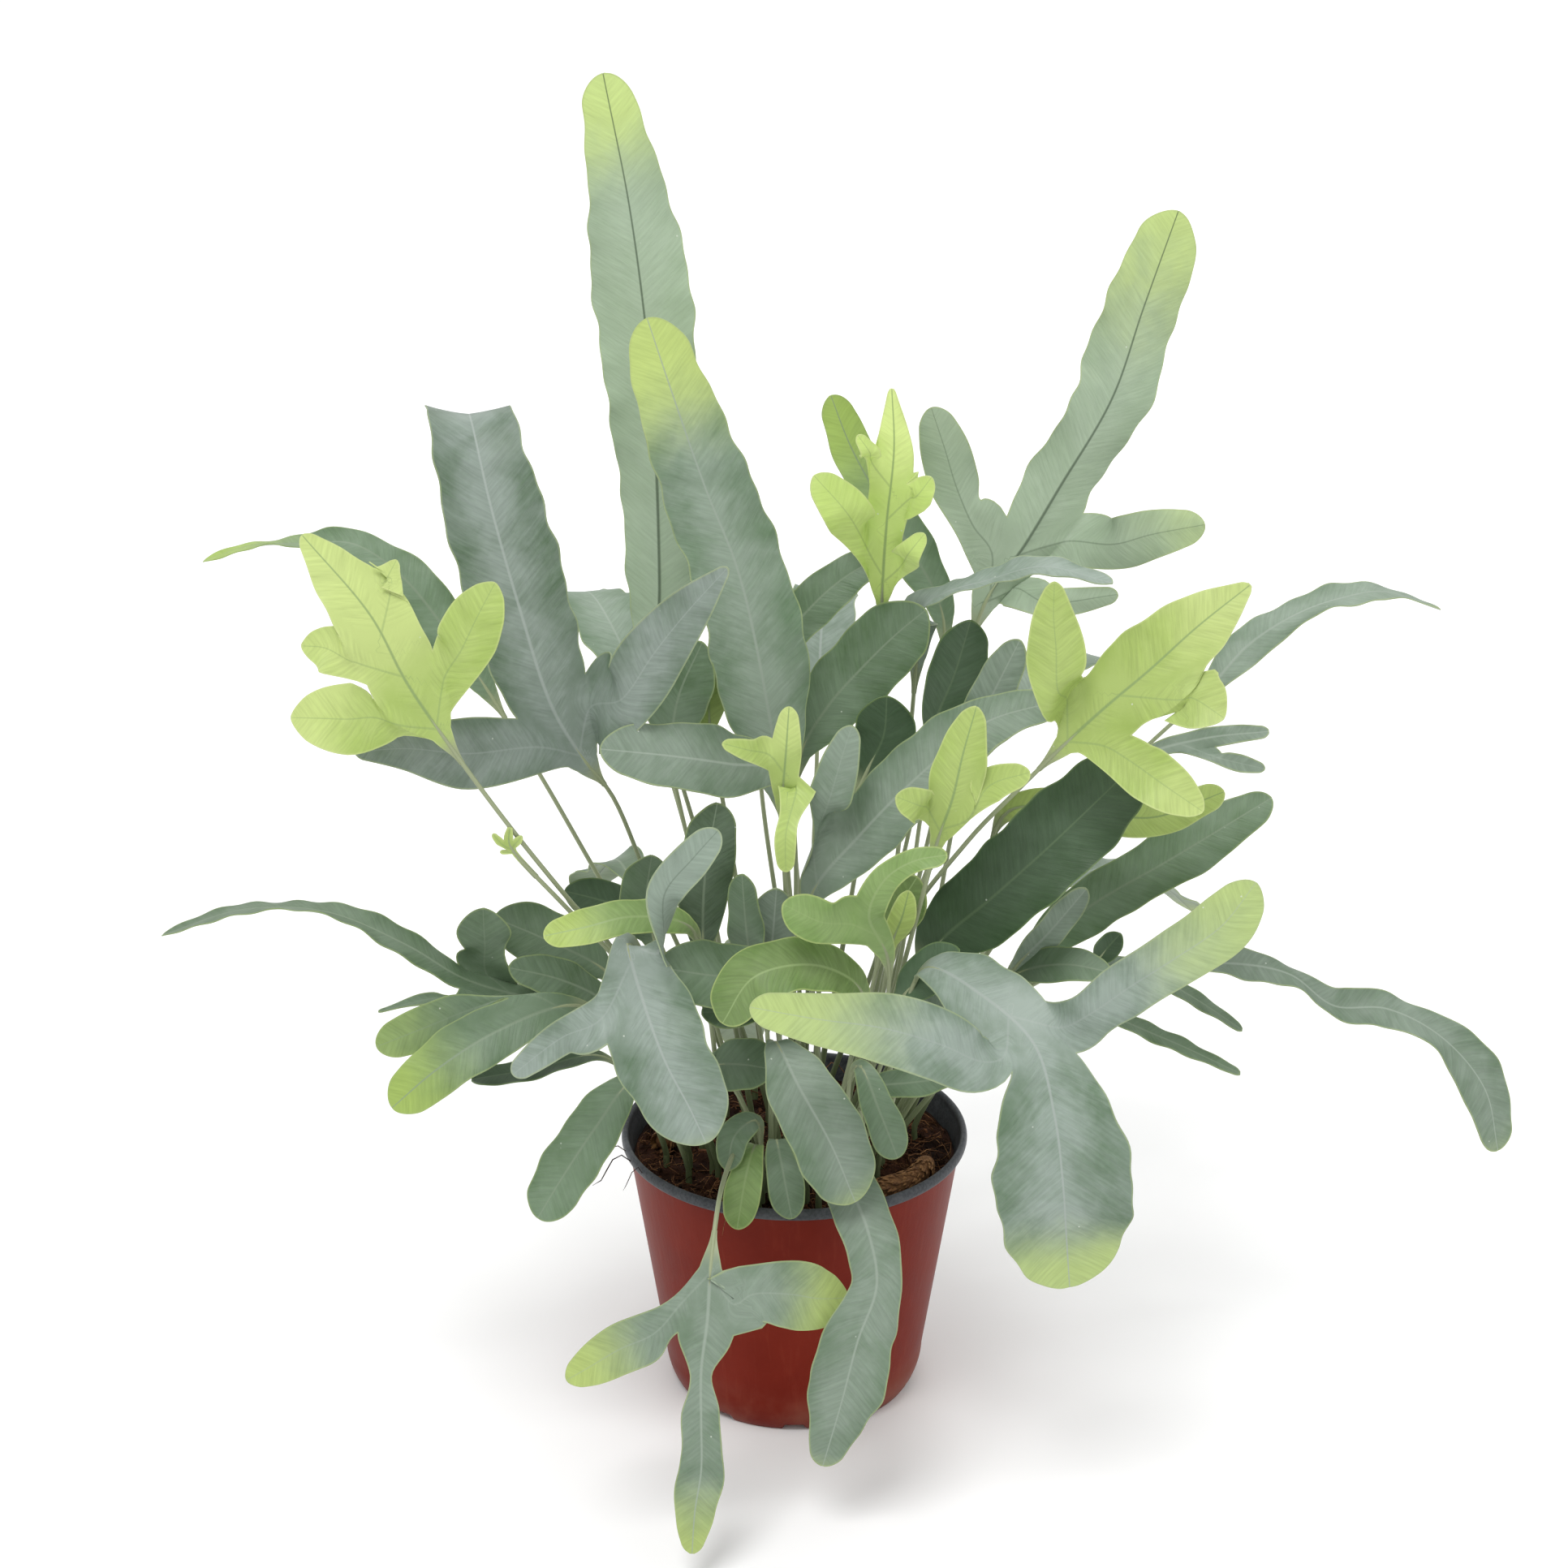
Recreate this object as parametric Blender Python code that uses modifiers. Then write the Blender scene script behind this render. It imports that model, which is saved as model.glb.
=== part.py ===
"""Potted blue star fern: a nursery pot, its substrate, two creeping rhizomes and the fronds.

The origin is the centre of the pot's base on the ground, +Z is up and -Y is the front.
Each frond is one piece: a stalk that rises from the substrate and a blade that may carry lobes.
"""

import math

import bpy
import numpy as np

MM = 0.001
TINY = 1e-9
CLEARANCE = 0.3  # gap kept between pieces that touch, in millimetres as all sizes below

# Pot
POT_HEIGHT = 96.0
RIM_RADIUS = 60.0
LIP_HEIGHT = 4.5
LIP_OVERHANG = 2.4
BASE_RADIUS = 41.5
SHOULDER_HEIGHT = 13.0  # where the straight wall ends and rounds in to the foot
SHOULDER_RADIUS = 45.5
SHOULDER_BULGE = 0.6
WALL = 1.0
FLOOR = 1.4
POT_STEPS = 48
DRAIN_COUNT = 10
DRAIN_SIZE = (7.0, 9.0, 3.0)  # along the base edge, inwards and up
CUTTER_REACH = 3.0  # how far a drain cutter stands out of the base

# Substrate
SOIL_BELOW_RIM = 9.0
SOIL_CROWN = 3.0
SOIL_FOOT_INSET = 3.0  # how much narrower the substrate is at its foot
SOIL_STEPS = 40

# Rhizomes: creeping stems that lie on the substrate
RHIZOME_RADIUS = 3.6
RHIZOME_END = 0.6  # radius of its ends, as a share
RHIZOME_STEPS = 3
RHIZOMES = {
    "rhizome_left": [(-48, 16), (-44, 4), (-46, -4)],
    "rhizome_right": [(46, -16), (42, -26), (34, -34), (25, -40)],
}

# Fronds
STALK_HALF = 0.8
BLADE_THICK = 0.6
STALK_COLUMNS = 5
STALK_RISE = 5.0  # how far a stalk rises straight up before it leans
COLUMN_STEP = 0.17  # largest step between the rows of a blade, as a share of its length
COLUMN_MERGE = 0.012  # rows closer than this share are one
LAST_ROW = 0.93  # share of the rib at the last row before the tip
LOBE_SHARES = np.array([0, 0.22, 0.45, 0.7, 0.9, 1.0])  # rows of a lobe along its own rib
LOBE_BLEND = 0.4  # share of a lobe over which the margin's shape fades out of its rows
LOBE_TURN = 1.5  # how fast a lobe turns from its blade's face to its own
CLOSING = 1.3  # a tip closes over this many times the last half width
LONGEST_CLOSING = 0.6
TANGENT_STEP = 0.02  # share of a path over which its direction is taken
TIP_HALF = 0.25
FOLD = 0.10  # how far a margin rises above its midrib, as a share of the half width
SET_OUT_RIM = 60.0  # the frond points below were set out round a rim of this radius
SET_OUT_SOIL = 92.0  # and over a substrate at this height

FRONT, BACK, UP = (0, -9, 4), (0, 9, -3), (0, -1, 9)
FRONT_UP = (0, -7, 7)

# foot: where the stalk leaves the substrate; stalk and rib: points of the stalk and of the midrib, base to tip;
# half: half widths at even steps along the rib; face: way the upper side looks, at even steps;
# wave: height and number of the margin's waves; lobes: side, share of the rib, rib points, half widths, face.
FRONDS = {
    "tall_back": {
        "foot": (-9, 16), "stalk": [(-22, 20, 140), (-38, 23, 205)],
        "rib": [(-46, 24, 253), (-45, 27, 290), (-47, 33, 354), (-53, 37, 410), (-61, 35, 456)],
        "half": [5, 11, 13, 15, 16, 12, 7], "face": [(3, 9, -2), (-2, 9, -1)], "wave": (2.5, 3),
    },
    "tall_centre": {
        "foot": (2, 0), "stalk": [(3, -4, 130), (-1, -8, 185)],
        "rib": [(-5, -8, 228), (-8, -8, 252), (-18, -5, 302), (-29, -2, 331), (-39, 2, 360), (-47, 6, 384)],
        "half": [5, 15, 16, 15, 13, 8], "face": [(4, -9, 3), (1, -9, 3)], "wave": (2, 3),
    },
    "tall_curled": {
        "foot": (-16, 4), "stalk": [(-32, -2, 150), (-49, -7, 196), (-60, -16, 230)],
        "rib": [(-68, -22, 244), (-78, -24, 263), (-88, -22, 297), (-97, -12, 328), (-104, 6, 351),
                (-107, 28, 343), (-109, 42, 322)],
        "half": [5, 14, 16, 16, 14, 13, 10],
        "face": [(3, -9, 4), (3, -9, 3), (1, -8, 5), (0, 6, 7)], "wave": (2, 2),
        "lobes": [
            (1, 0.02, 0.17, [(-55, -36, 271), (-45, -40, 287), (-35, -43, 301), (-21, -46, 318)],
             [10.5, 11, 9.5, 6.5, 1.5], FRONT),
            (-1, 0.02, 0.15, [(-104, -48, 257), (-122, -54, 261), (-138, -57, 261)], [12.5, 11, 7, 2], FRONT),
        ],
    },
    "bright_left": {
        "foot": (-28, -20), "stalk": [(-58, -38, 182), (-73, -48, 207), (-92, -58, 239)],
        "rib": [(-110, -62, 269), (-120, -64, 287), (-130, -63, 308), (-151, -54, 331)],
        "half": [4, 10, 11.5, 12, 11, 7, 2], "face": [(3, -9, 4)], "wave": (1, 2),
        "lobes": [
            (1, 0.05, 0.33, [(-103, -61, 296), (-98, -60, 306), (-92, -58, 317)], [9.5, 9.5, 8, 3], FRONT),
            (-1, 0.03, 0.28, [(-129, -69, 277), (-137, -73, 278), (-145, -75, 279), (-154, -77, 280)],
             [11, 11, 9, 4], FRONT),
            (-1, 0.34, 0.58, [(-144, -67, 299), (-151, -68, 300)], [7.5, 2.5], FRONT),
            (1, 0.54, 0.74, [(-125, -59, 318), (-122, -57, 324)], [4, 1], FRONT),
        ],
    },
    "ribbon_far_left": {
        "foot": (-24, 22), "stalk": [(-46, 26, 140), (-72, 36, 186), (-88, 46, 212)],
        "rib": [(-107, 58, 240), (-120, 64, 258), (-136, 70, 277), (-153, 76, 287), (-171, 80, 286),
                (-190, 84, 284), (-208, 88, 277)],
        "half": [4, 8, 9, 8, 7, 5, 3], "face": [(0, -8, 6), (0, -6, 8), UP, (0, 0, 9)], "wave": (1.5, 3),
    },
    "leaf_mid_left": {
        "foot": (-3, -12), "stalk": [(-1, -16, 150), (0, -19, 215)],
        "rib": [(-4, -24, 241), (-21, -34, 248), (-39, -40, 253), (-62, -44, 257)],
        "half": [4, 10, 11.5, 10, 6], "face": [(1, -8, 6)], "wave": (1, 2),
    },
    "bright_twist": {
        "foot": (4, -22), "stalk": [(1, -33, 150), (-3, -40, 205)],
        "rib": [(-4, -43, 240), (-3, -45, 256), (-2, -43, 271)],
        "half": [3, 5, 4.5, 2.5], "face": [FRONT], "wave": (0.5, 1),
        "lobes": [
            (-1, 0.32, 0.66, [(-15, -50, 259), (-23, -52, 262)], [4, 3, 1.5], FRONT),
            (1, 0.02, 0.28, [(-3, -56, 233), (-3, -59, 221)], [3, 3.5, 2.5], FRONT),
        ],
    },
    "broad_centre_right": {
        "foot": (9, -14), "stalk": [(8, -26, 135), (5, -34, 175)],
        "rib": [(5, -38, 203), (21, -40, 226), (39, -38, 245), (60, -32, 261), (84, -22, 265)],
        "half": [4, 10, 11.5, 11, 8, 5], "face": [(-2, -9, 4), (-3, -8, 5)], "wave": (1.5, 2),
        "lobes": [
            (-1, 0.04, 0.26, [(11, -46, 241), (15, -46, 256), (18, -44, 265)], [7, 7, 6, 3], FRONT),
        ],
    },
    "dark_centre": {
        "foot": (10, 8), "stalk": [(6, 8, 150), (0, 6, 205)],
        "rib": [(2, 8, 235), (11, 11, 251), (22, 12, 264), (33, 11, 276), (43, 8, 286)],
        "half": [4, 10, 12, 12, 8], "face": [(-1, -9, 3)], "wave": (1, 1),
    },
    "arching_strap": {
        "foot": (16, 12), "stalk": [(30, 20, 150), (38, 26, 220)],
        "rib": [(41, 26, 262), (42, 22, 281), (50, 14, 290), (63, 8, 296), (80, 1, 303), (102, -10, 301)],
        "half": [3, 7, 8, 8, 7, 4], "face": [(0, -9, 2), (0, -3, 9), UP, UP], "wave": (1, 2),
    },
    "tall_right": {
        "foot": (22, 18), "stalk": [(36, 26, 150), (52, 36, 220)],
        "rib": [(64, 42, 276), (78, 48, 296), (90, 54, 315), (107, 62, 343), (117, 69, 372), (128, 74, 404)],
        "half": [5, 10.5, 12, 13, 13.5, 13, 8], "face": [(-4, 9, -2), (-2, 9, -3)], "wave": (3, 3),
        "lobes": [
            (1, 0.03, 0.20, [(60, 42, 304), (54, 41, 318), (50, 40, 331), (45, 39, 346)], [7.5, 8.5, 8, 4.5], BACK),
            (-1, 0.15, 0.30, [(107, 38, 299), (119, 33, 304), (136, 28, 309)], [9.5, 9, 7.5, 4.5], BACK),
            (-1, 0.02, 0.12, [(85, 33, 280), (108, 27, 285)], [5, 4.5, 2.5], BACK),
        ],
    },
    "bright_top": {
        "foot": (8, 24), "stalk": [(16, 27, 150), (27, 30, 225), (30, 28, 262)],
        "rib": [(29, 21, 285), (30, 15, 313), (32, 11, 340), (31, 10, 360)],
        "half": [2.5, 5.5, 6, 7, 7, 4.5, 1], "face": [(-2, -9, 3)], "wave": (0.5, 2),
        "lobes": [
            (-1, 0.10, 0.40, [(17, 4, 320), (6, 0, 334)], [8.5, 7.5, 4], FRONT),
            (-1, 0.56, 0.78, [(24, 6, 340), (20, 5, 346)], [3.5, 1.5], FRONT),
            (1, 0.42, 0.64, [(39, 6, 325), (44, 5, 332)], [5, 2.5], FRONT),
            (1, 0.08, 0.30, [(37, 6, 306), (42, 5, 313)], [5, 2], FRONT),
        ],
    },
    "back_upper": {
        "foot": (12, 32), "stalk": [(30, 38, 150), (46, 46, 225)],
        "rib": [(51, 50, 268), (42, 52, 289), (30, 53, 308), (19, 54, 328), (12, 54, 346)],
        "half": [4, 8, 8, 7.5, 5], "face": [(3, -9, 3)], "wave": (1, 2),
    },
    "back_band": {
        "foot": (2, 34), "stalk": [(-4, 40, 150), (-12, 46, 215)],
        "rib": [(-11, 50, 250), (5, 56, 270), (17, 60, 280), (32, 63, 288)],
        "half": [4, 7, 8, 7, 4], "face": [(0, -8, 5)], "wave": (1, 1),
    },
    "bright_right": {
        "foot": (24, -12), "stalk": [(32, -29, 180), (55, -46, 226), (70, -52, 246)],
        "rib": [(84, -56, 263), (96, -60, 277), (109, -62, 290), (123, -62, 304), (139, -60, 317)],
        "half": [4, 10, 12.5, 14, 11.5, 8, 1.5], "face": [(-2, -9, 5)], "wave": (1, 2),
        "lobes": [
            (-1, 0.03, 0.26, [(81, -62, 283), (80, -62, 297), (79, -61, 307), (79, -60, 318)],
             [9, 9.5, 8.5, 6, 2], FRONT),
            (1, 0.38, 0.64, [(121, -70, 284), (131, -75, 279)], [9, 4.5], FRONT),
            (1, 0.03, 0.26, [(103, -69, 263), (113, -77, 258), (125, -82, 251)], [8.5, 8.5, 7, 2.5], FRONT),
        ],
    },
    "bright_behind_right": {
        "foot": (31, -2), "stalk": [(50, -10, 150), (62, -16, 200)],
        "rib": [(70, -20, 226), (93, -24, 228), (116, -28, 227), (139, -28, 236)],
        "half": [4, 7, 7, 6, 4], "face": [(0, -9, 5)], "wave": (1, 2),
    },
    "bright_small": {
        "foot": (16, -20), "stalk": [(28, -40, 150), (38, -55, 200)],
        "rib": [(45, -62, 234), (49, -64, 248), (52, -64, 263), (56, -62, 278)],
        "half": [3, 7, 8.5, 7, 3], "face": [(-2, -9, 4)], "wave": (0.5, 1),
        "lobes": [
            (-1, 0.06, 0.32, [(38, -69, 248), (31, -72, 252)], [6, 5, 3.5], FRONT),
            (1, 0.10, 0.36, [(60, -66, 253), (73, -64, 257)], [6, 5, 3], FRONT),
        ],
    },
    "dark_right": {
        "foot": (22, -20), "stalk": [(30, -30, 130), (37, -35, 160)],
        "rib": [(45, -38, 184), (64, -46, 207), (80, -48, 224), (96, -46, 240), (109, -42, 252)],
        "half": [9, 13.5, 14.5, 14, 10], "face": [(-3, -8, 5), (-1, -9, 5)], "wave": (1.5, 2),
    },
    "grey_right": {
        "foot": (34, -8), "stalk": [(52, -10, 125), (66, -12, 150)],
        "rib": [(79, -12, 170), (98, -14, 189), (124, -12, 205), (158, -6, 225)],
        "half": [4, 9, 9.5, 9, 5], "face": [(-2, -8, 6)], "wave": (2, 2),
    },
    "rolled_right": {
        "foot": (30, -16), "stalk": [(48, -23, 135), (64, -28, 160)],
        "rib": [(74, -30, 176), (83, -33, 188), (95, -33, 204)],
        "half": [3, 5, 5, 3], "face": [(3, -8, 4)], "wave": (0.5, 1),
    },
    "small_far_right": {
        "foot": (27, 10), "stalk": [(60, 11, 150), (92, 9, 205)],
        "rib": [(114, 8, 233), (136, 12, 239), (159, 14, 241)],
        "half": [2, 3, 3.5, 2], "face": [(0, -8, 5)], "wave": (0.5, 1),
        "lobes": [(1, 0.30, 0.60, [(141, 5, 235), (157, 5, 231)], [3, 3, 1.5], FRONT)],
    },
    "ribbon_far_right": {
        "foot": (27, 22), "stalk": [(60, 28, 150), (108, 32, 215)],
        "rib": [(140, 34, 248), (155, 40, 263), (172, 46, 272), (187, 50, 276), (202, 54, 277), (222, 56, 270)],
        "half": [3, 7, 8.5, 8, 6, 3], "face": [(0, -6, 7), UP, (0, 0, 9)], "wave": (1.5, 2),
    },
    "wavy_far_right": {
        "foot": (38, 2), "stalk": [(54, -3, 135), (70, -5, 152)],
        "rib": [(90, -4, 160), (117, 2, 159), (150, 6, 159), (170, 8, 154), (186, 8, 142), (204, 8, 141),
                (224, 8, 130), (240, 6, 111), (246, 4, 88)],
        "half": [3, 5, 5, 5.5, 6, 6.5, 8, 9, 6], "face": [(0, -4, 9), (0, -4, 9), (0, -5, 8), (2, -7, 6)],
        "wave": (3, 4),
    },
    "lobed_front_right": {
        "foot": (20, -28), "stalk": [(30, -47, 140), (36, -58, 175)],
        "rib": [(42, -68, 192), (58, -84, 190), (74, -99, 180), (80, -110, 161), (83, -114, 139),
                (85, -111, 118), (87, -106, 98)],
        "half": [6, 11, 12, 10, 17, 21, 21, 17, 9],
        "face": [(0, -4, 9), (0, -7, 6), (0, -9, 2), (1, -9, 1)], "wave": (2, 2),
        "lobes": [
            (1, 0.28, 0.40, [(58, -107, 178), (44, -113, 187), (26, -118, 195), (6, -120, 199), (-14, -118, 202)],
             [9, 11, 11, 9, 7, 4.5], FRONT),
            (-1, 0.29, 0.40, [(90, -101, 191), (102, -106, 203), (115, -109, 214), (129, -107, 224),
                              (139, -104, 237)], [6, 8, 8.5, 9, 9, 5], FRONT),
        ],
    },
    "grey_front_left": {
        "foot": (-20, -30), "stalk": [(-31, -46, 140), (-46, -60, 185)],
        "rib": [(-53, -70, 201), (-48, -80, 186), (-41, -90, 170), (-33, -96, 156), (-28, -98, 145)],
        "half": [5, 14, 15, 14, 10], "face": [(2, -8, 6), (-2, -9, 4)], "wave": (1.5, 2),
        "lobes": [
            (-1, 0.02, 0.16, [(-41, -74, 220), (-32, -74, 232), (-24, -70, 240)], [5, 6, 6, 4], FRONT),
            (1, 0.18, 0.42, [(-74, -80, 173), (-90, -78, 159)], [6, 5, 3], FRONT),
        ],
    },
    "green_lower_left": {
        "foot": (-36, -16), "stalk": [(-48, -32, 140), (-60, -42, 162)],
        "rib": [(-74, -50, 170), (-97, -62, 166), (-115, -68, 156), (-130, -70, 143)],
        "half": [4, 8, 9.5, 9, 6], "face": [(0, -8, 6)], "wave": (1, 2),
        "lobes": [(1, 0.06, 0.26, [(-105, -53, 170), (-120, -54, 164), (-136, -56, 158)], [6, 7, 7, 5], FRONT)],
    },
    "thin_far_left": {
        "foot": (-38, -4), "stalk": [(-52, -14, 130), (-64, -22, 150)],
        "rib": [(-76, -26, 159), (-91, -30, 164), (-109, -34, 172), (-127, -36, 185), (-153, -36, 197),
                (-180, -34, 197), (-208, -30, 186)],
        "half": [3, 5, 6, 7, 8, 7, 3], "face": [(0, -6, 7), (0, -2, 9), (0, 1, 9), (0, 1, 9)], "wave": (1.5, 2),
        "lobes": [
            (1, 0.12, 0.27, [(-102, -31, 184), (-102, -33, 197)], [6, 9, 7], FRONT),
            (-1, 0.14, 0.26, [(-120, -39, 167), (-137, -40, 163)], [3, 3, 1], UP),
        ],
    },
    "leaf_left": {
        "foot": (-34, 8), "stalk": [(-46, -2, 130), (-56, -10, 152)],
        "rib": [(-64, -14, 166), (-81, -18, 178), (-100, -18, 187)],
        "half": [4, 10, 10, 7], "face": [(2, -8, 6)], "wave": (1, 1),
    },
    "bright_left_small": {
        "foot": (-23, -26), "stalk": [(-26, -36, 140), (-30, -44, 180)],
        "rib": [(-34, -50, 198), (-52, -60, 206), (-67, -64, 204), (-80, -64, 201)],
        "half": [3, 6, 6, 6, 4], "face": [FRONT_UP], "wave": (0.5, 1),
    },
    "upright_centre": {
        "foot": (-12, -18), "stalk": [(-20, -28, 130), (-28, -36, 165)],
        "rib": [(-30, -39, 187), (-29, -42, 214), (-25, -40, 237)],
        "half": [4, 9, 9.5, 6], "face": [(4, -9, 3)], "wave": (1, 1),
    },
    "upright_small": {
        "foot": (-4, -26), "stalk": [(-8, -35, 130), (-12, -41, 160)],
        "rib": [(-14, -44, 178), (-16, -49, 200), (-17, -49, 216)],
        "half": [3, 6, 6, 4], "face": [(-4, -9, 3)], "wave": (0.5, 1),
    },
    "leaf_centre_front": {
        "foot": (-9, -34), "stalk": [(-6, -44, 130), (-5, -50, 165)],
        "rib": [(-6, -55, 183), (-24, -64, 187), (-44, -68, 192)],
        "half": [6, 11, 11, 7], "face": [FRONT_UP], "wave": (1, 1),
    },
    "bright_curved": {
        "foot": (8, -32), "stalk": [(15, -48, 135), (20, -58, 165)],
        "rib": [(21, -64, 182), (5, -77, 197), (-13, -84, 196), (-23, -84, 180)],
        "half": [4, 8, 9, 9, 6], "face": [(0, -6, 7), (0, -8, 5)], "wave": (1, 1),
    },
    "front_hanging": {
        "foot": (4, -40), "stalk": [(-1, -55, 135), (-6, -66, 160)],
        "rib": [(-6, -75, 169), (1, -88, 160), (11, -96, 144), (19, -96, 123)],
        "half": [4, 10, 12, 12, 8], "face": [(1, -6, 8), (2, -9, 4)], "wave": (1.5, 1),
    },
    "front_hanging_small": {
        "foot": (14, -40), "stalk": [(17, -54, 130), (18, -62, 150)],
        "rib": [(21, -68, 157), (27, -76, 145), (33, -78, 129)],
        "half": [3, 5, 6, 5], "face": [FRONT_UP, (1, -9, 3)], "wave": (0.5, 1),
    },
    "rim_leaf_bright": {
        "foot": (-12, -44), "stalk": [(-11, -47, 112)],
        "rib": [(-13, -54, 121), (-16, -66, 116), (-19, -71, 99)],
        "half": [3, 5, 6, 4], "face": [UP, (0, -9, 3)], "wave": (0.5, 1),
    },
    "rim_leaf": {
        "foot": (-4, -46), "stalk": [(-5, -49, 114)],
        "rib": [(-6, -56, 124), (-4, -68, 119), (-1, -73, 104)],
        "half": [3, 5, 6, 4], "face": [UP, (0, -9, 3)], "wave": (0.5, 1),
    },
    "left_hanging": {
        "foot": (-36, -26), "stalk": [(-42, -36, 120), (-48, -45, 137)],
        "rib": [(-54, -52, 143), (-65, -58, 130), (-76, -60, 113), (-85, -60, 97)],
        "half": [4, 9, 9.5, 9, 6], "face": [(-2, -7, 6), (-3, -9, 3)], "wave": (1, 1),
    },
    "dark_low_left": {
        "foot": (-44, -14), "stalk": [(-50, -24, 120), (-56, -33, 137)],
        "rib": [(-66, -38, 146), (-86, -42, 143), (-107, -42, 139)],
        "half": [3, 5, 5, 3], "face": [(0, -3, 9)], "wave": (0.5, 1),
    },
    "spike_right_low": {
        "foot": (42, 6), "stalk": [(58, 4, 125), (78, 4, 140)],
        "rib": [(98, 4, 143), (127, 8, 130), (155, 8, 116)],
        "half": [3, 4, 4, 2], "face": [(0, -3, 9)], "wave": (0.5, 1),
    },
    "spike_right_high": {
        "foot": (38, 16), "stalk": [(60, 16, 135), (90, 18, 152)],
        "rib": [(115, 20, 153), (137, 22, 140), (157, 22, 126)],
        "half": [3, 4, 4, 2], "face": [(0, -3, 9)], "wave": (0.5, 1),
    },
    "forked_centre": {
        "foot": (14, -30), "stalk": [(24, -48, 140), (30, -60, 180)],
        "rib": [(29, -67, 196), (23, -74, 213), (28, -76, 226), (37, -78, 233), (47, -78, 235)],
        "half": [3, 5, 5, 4, 3], "face": [FRONT], "wave": (0.5, 1),
        "lobes": [(-1, 0.15, 0.45, [(8, -82, 214), (-4, -84, 221)], [7, 7, 5], FRONT)],
    },
    "dark_behind_centre": {
        "foot": (18, 2), "stalk": [(34, 4, 150), (42, 7, 210)],
        "rib": [(46, 10, 243), (53, 12, 262), (58, 12, 281)],
        "half": [4, 9, 10, 6], "face": [(4, -9, 3)], "wave": (1, 1),
    },
    "leaf_behind_bright": {
        "foot": (24, 4), "stalk": [(42, 0, 150), (52, -4, 210)],
        "rib": [(56, -6, 241), (64, -8, 261), (73, -8, 281)],
        "half": [4, 7, 7, 4], "face": [(-3, -9, 3)], "wave": (1, 1),
    },
    "hanging_front_left": {
        "foot": (-22, -42), "stalk": [(-19, -55, 121), (-24, -80, 118)],
        "rib": [(-27, -99, 101), (-28, -106, 86), (-30, -112, 71), (-30, -118, 56), (-30, -123, 41),
                (-32, -128, 29), (-33, -131, 15)],
        "half": [4, 8.5, 8.5, 3.5, 6, 6.5, 7.5, 6, 2.5], "face": [(0, -8, 5), (0, -9, 3)], "wave": (1, 2),
        "lobes": [
            (1, 0.02, 0.24, [(-45, -106, 81), (-56, -109, 77), (-66, -112, 72), (-73, -113, 68)],
             [8.5, 8.3, 8, 6.5, 3], FRONT),
            (-1, 0.02, 0.22, [(-14, -104, 94), (-2, -102, 93), (8, -98, 89), (17, -94, 87)],
             [9, 10.5, 11, 9, 4.5], FRONT),
        ],
    },
    "hanging_front_right": {
        "foot": (8, -45), "stalk": [(9, -52, 115)],
        "rib": [(12, -65, 122), (16, -80, 123), (23, -94, 112), (26, -101, 96), (20, -104, 77), (15, -105, 55),
                (9, -104, 30)],
        "half": [3, 8, 9, 8, 11, 12.5, 9, 4], "face": [(0, -5, 8), (0, -9, 3), (0, -9, 2)], "wave": (2, 3),
    },
    "low_right": {
        "foot": (28, -26), "stalk": [(33, -36, 130), (36, -42, 152)],
        "rib": [(37, -45, 163), (47, -52, 170), (61, -56, 175)],
        "half": [5, 8.5, 8.5, 5], "face": [(0, -8, 6)], "wave": (0.5, 1),
    },
    "low_front_right": {
        "foot": (22, -38), "stalk": [(22, -47, 122), (22, -52, 136)],
        "rib": [(25, -56, 143), (38, -60, 147), (54, -62, 150)],
        "half": [4, 6, 6, 3], "face": [(0, -4, 9)], "wave": (0.5, 1),
    },
    "low_centre": {
        "foot": (-10, -30), "stalk": [(-16, -38, 125), (-22, -42, 139)],
        "rib": [(-26, -46, 146), (-17, -53, 150), (-6, -57, 150)],
        "half": [5, 9, 9, 5], "face": [FRONT_UP], "wave": (0.5, 1),
    },
    "dark_mid_left": {
        "foot": (-26, -4), "stalk": [(-36, -11, 135), (-44, -17, 162)],
        "rib": [(-47, -20, 181), (-49, -24, 196), (-47, -24, 212)],
        "half": [5, 9, 9, 5], "face": [(2, -9, 3)], "wave": (0.5, 1),
    },
    "rear_left_arch": {
        "foot": (-14, 36), "stalk": [(-30, 60, 150), (-44, 84, 195)],
        "rib": [(-54, 100, 220), (-66, 122, 240), (-76, 146, 246), (-84, 168, 236)],
        "half": [4, 11, 13, 12, 7], "face": [(0, -4, 9), (0, 2, 9)], "wave": (2, 2),
    },
    "rear_centre_lobed": {
        "foot": (4, 42), "stalk": [(6, 62, 150), (8, 86, 195)],
        "rib": [(9, 102, 220), (10, 122, 238), (12, 146, 246), (14, 172, 238)],
        "half": [4, 11, 12, 11, 6], "face": [(0, -4, 9), (0, 2, 9)], "wave": (2, 2),
        "lobes": [
            (1, 0.06, 0.28, [(30, 112, 236), (46, 124, 242)], [8, 8, 5], (1, -1, 9)),
            (-1, 0.06, 0.28, [(-12, 112, 236), (-27, 122, 240)], [8, 8, 5], (-1, -1, 9)),
        ],
    },
    "rear_right_arch": {
        "foot": (20, 36), "stalk": [(38, 56, 145), (56, 76, 185)],
        "rib": [(70, 92, 206), (88, 112, 222), (106, 134, 226), (122, 154, 214)],
        "half": [4, 10, 12, 11, 7], "face": [(0, -4, 9), (1, 2, 9)], "wave": (2, 2),
    },
    "rear_left_low": {
        "foot": (-32, 28), "stalk": [(-44, 48, 130), (-52, 66, 150)],
        "rib": [(-60, 84, 158), (-66, 104, 156), (-74, 122, 142), (-80, 134, 122)],
        "half": [4, 10, 11, 10, 6], "face": [(0, -2, 9), (-3, 3, 9)], "wave": (2, 2),
    },
    "rear_right_low": {
        "foot": (34, 28), "stalk": [(56, 44, 130), (78, 60, 150)],
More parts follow.
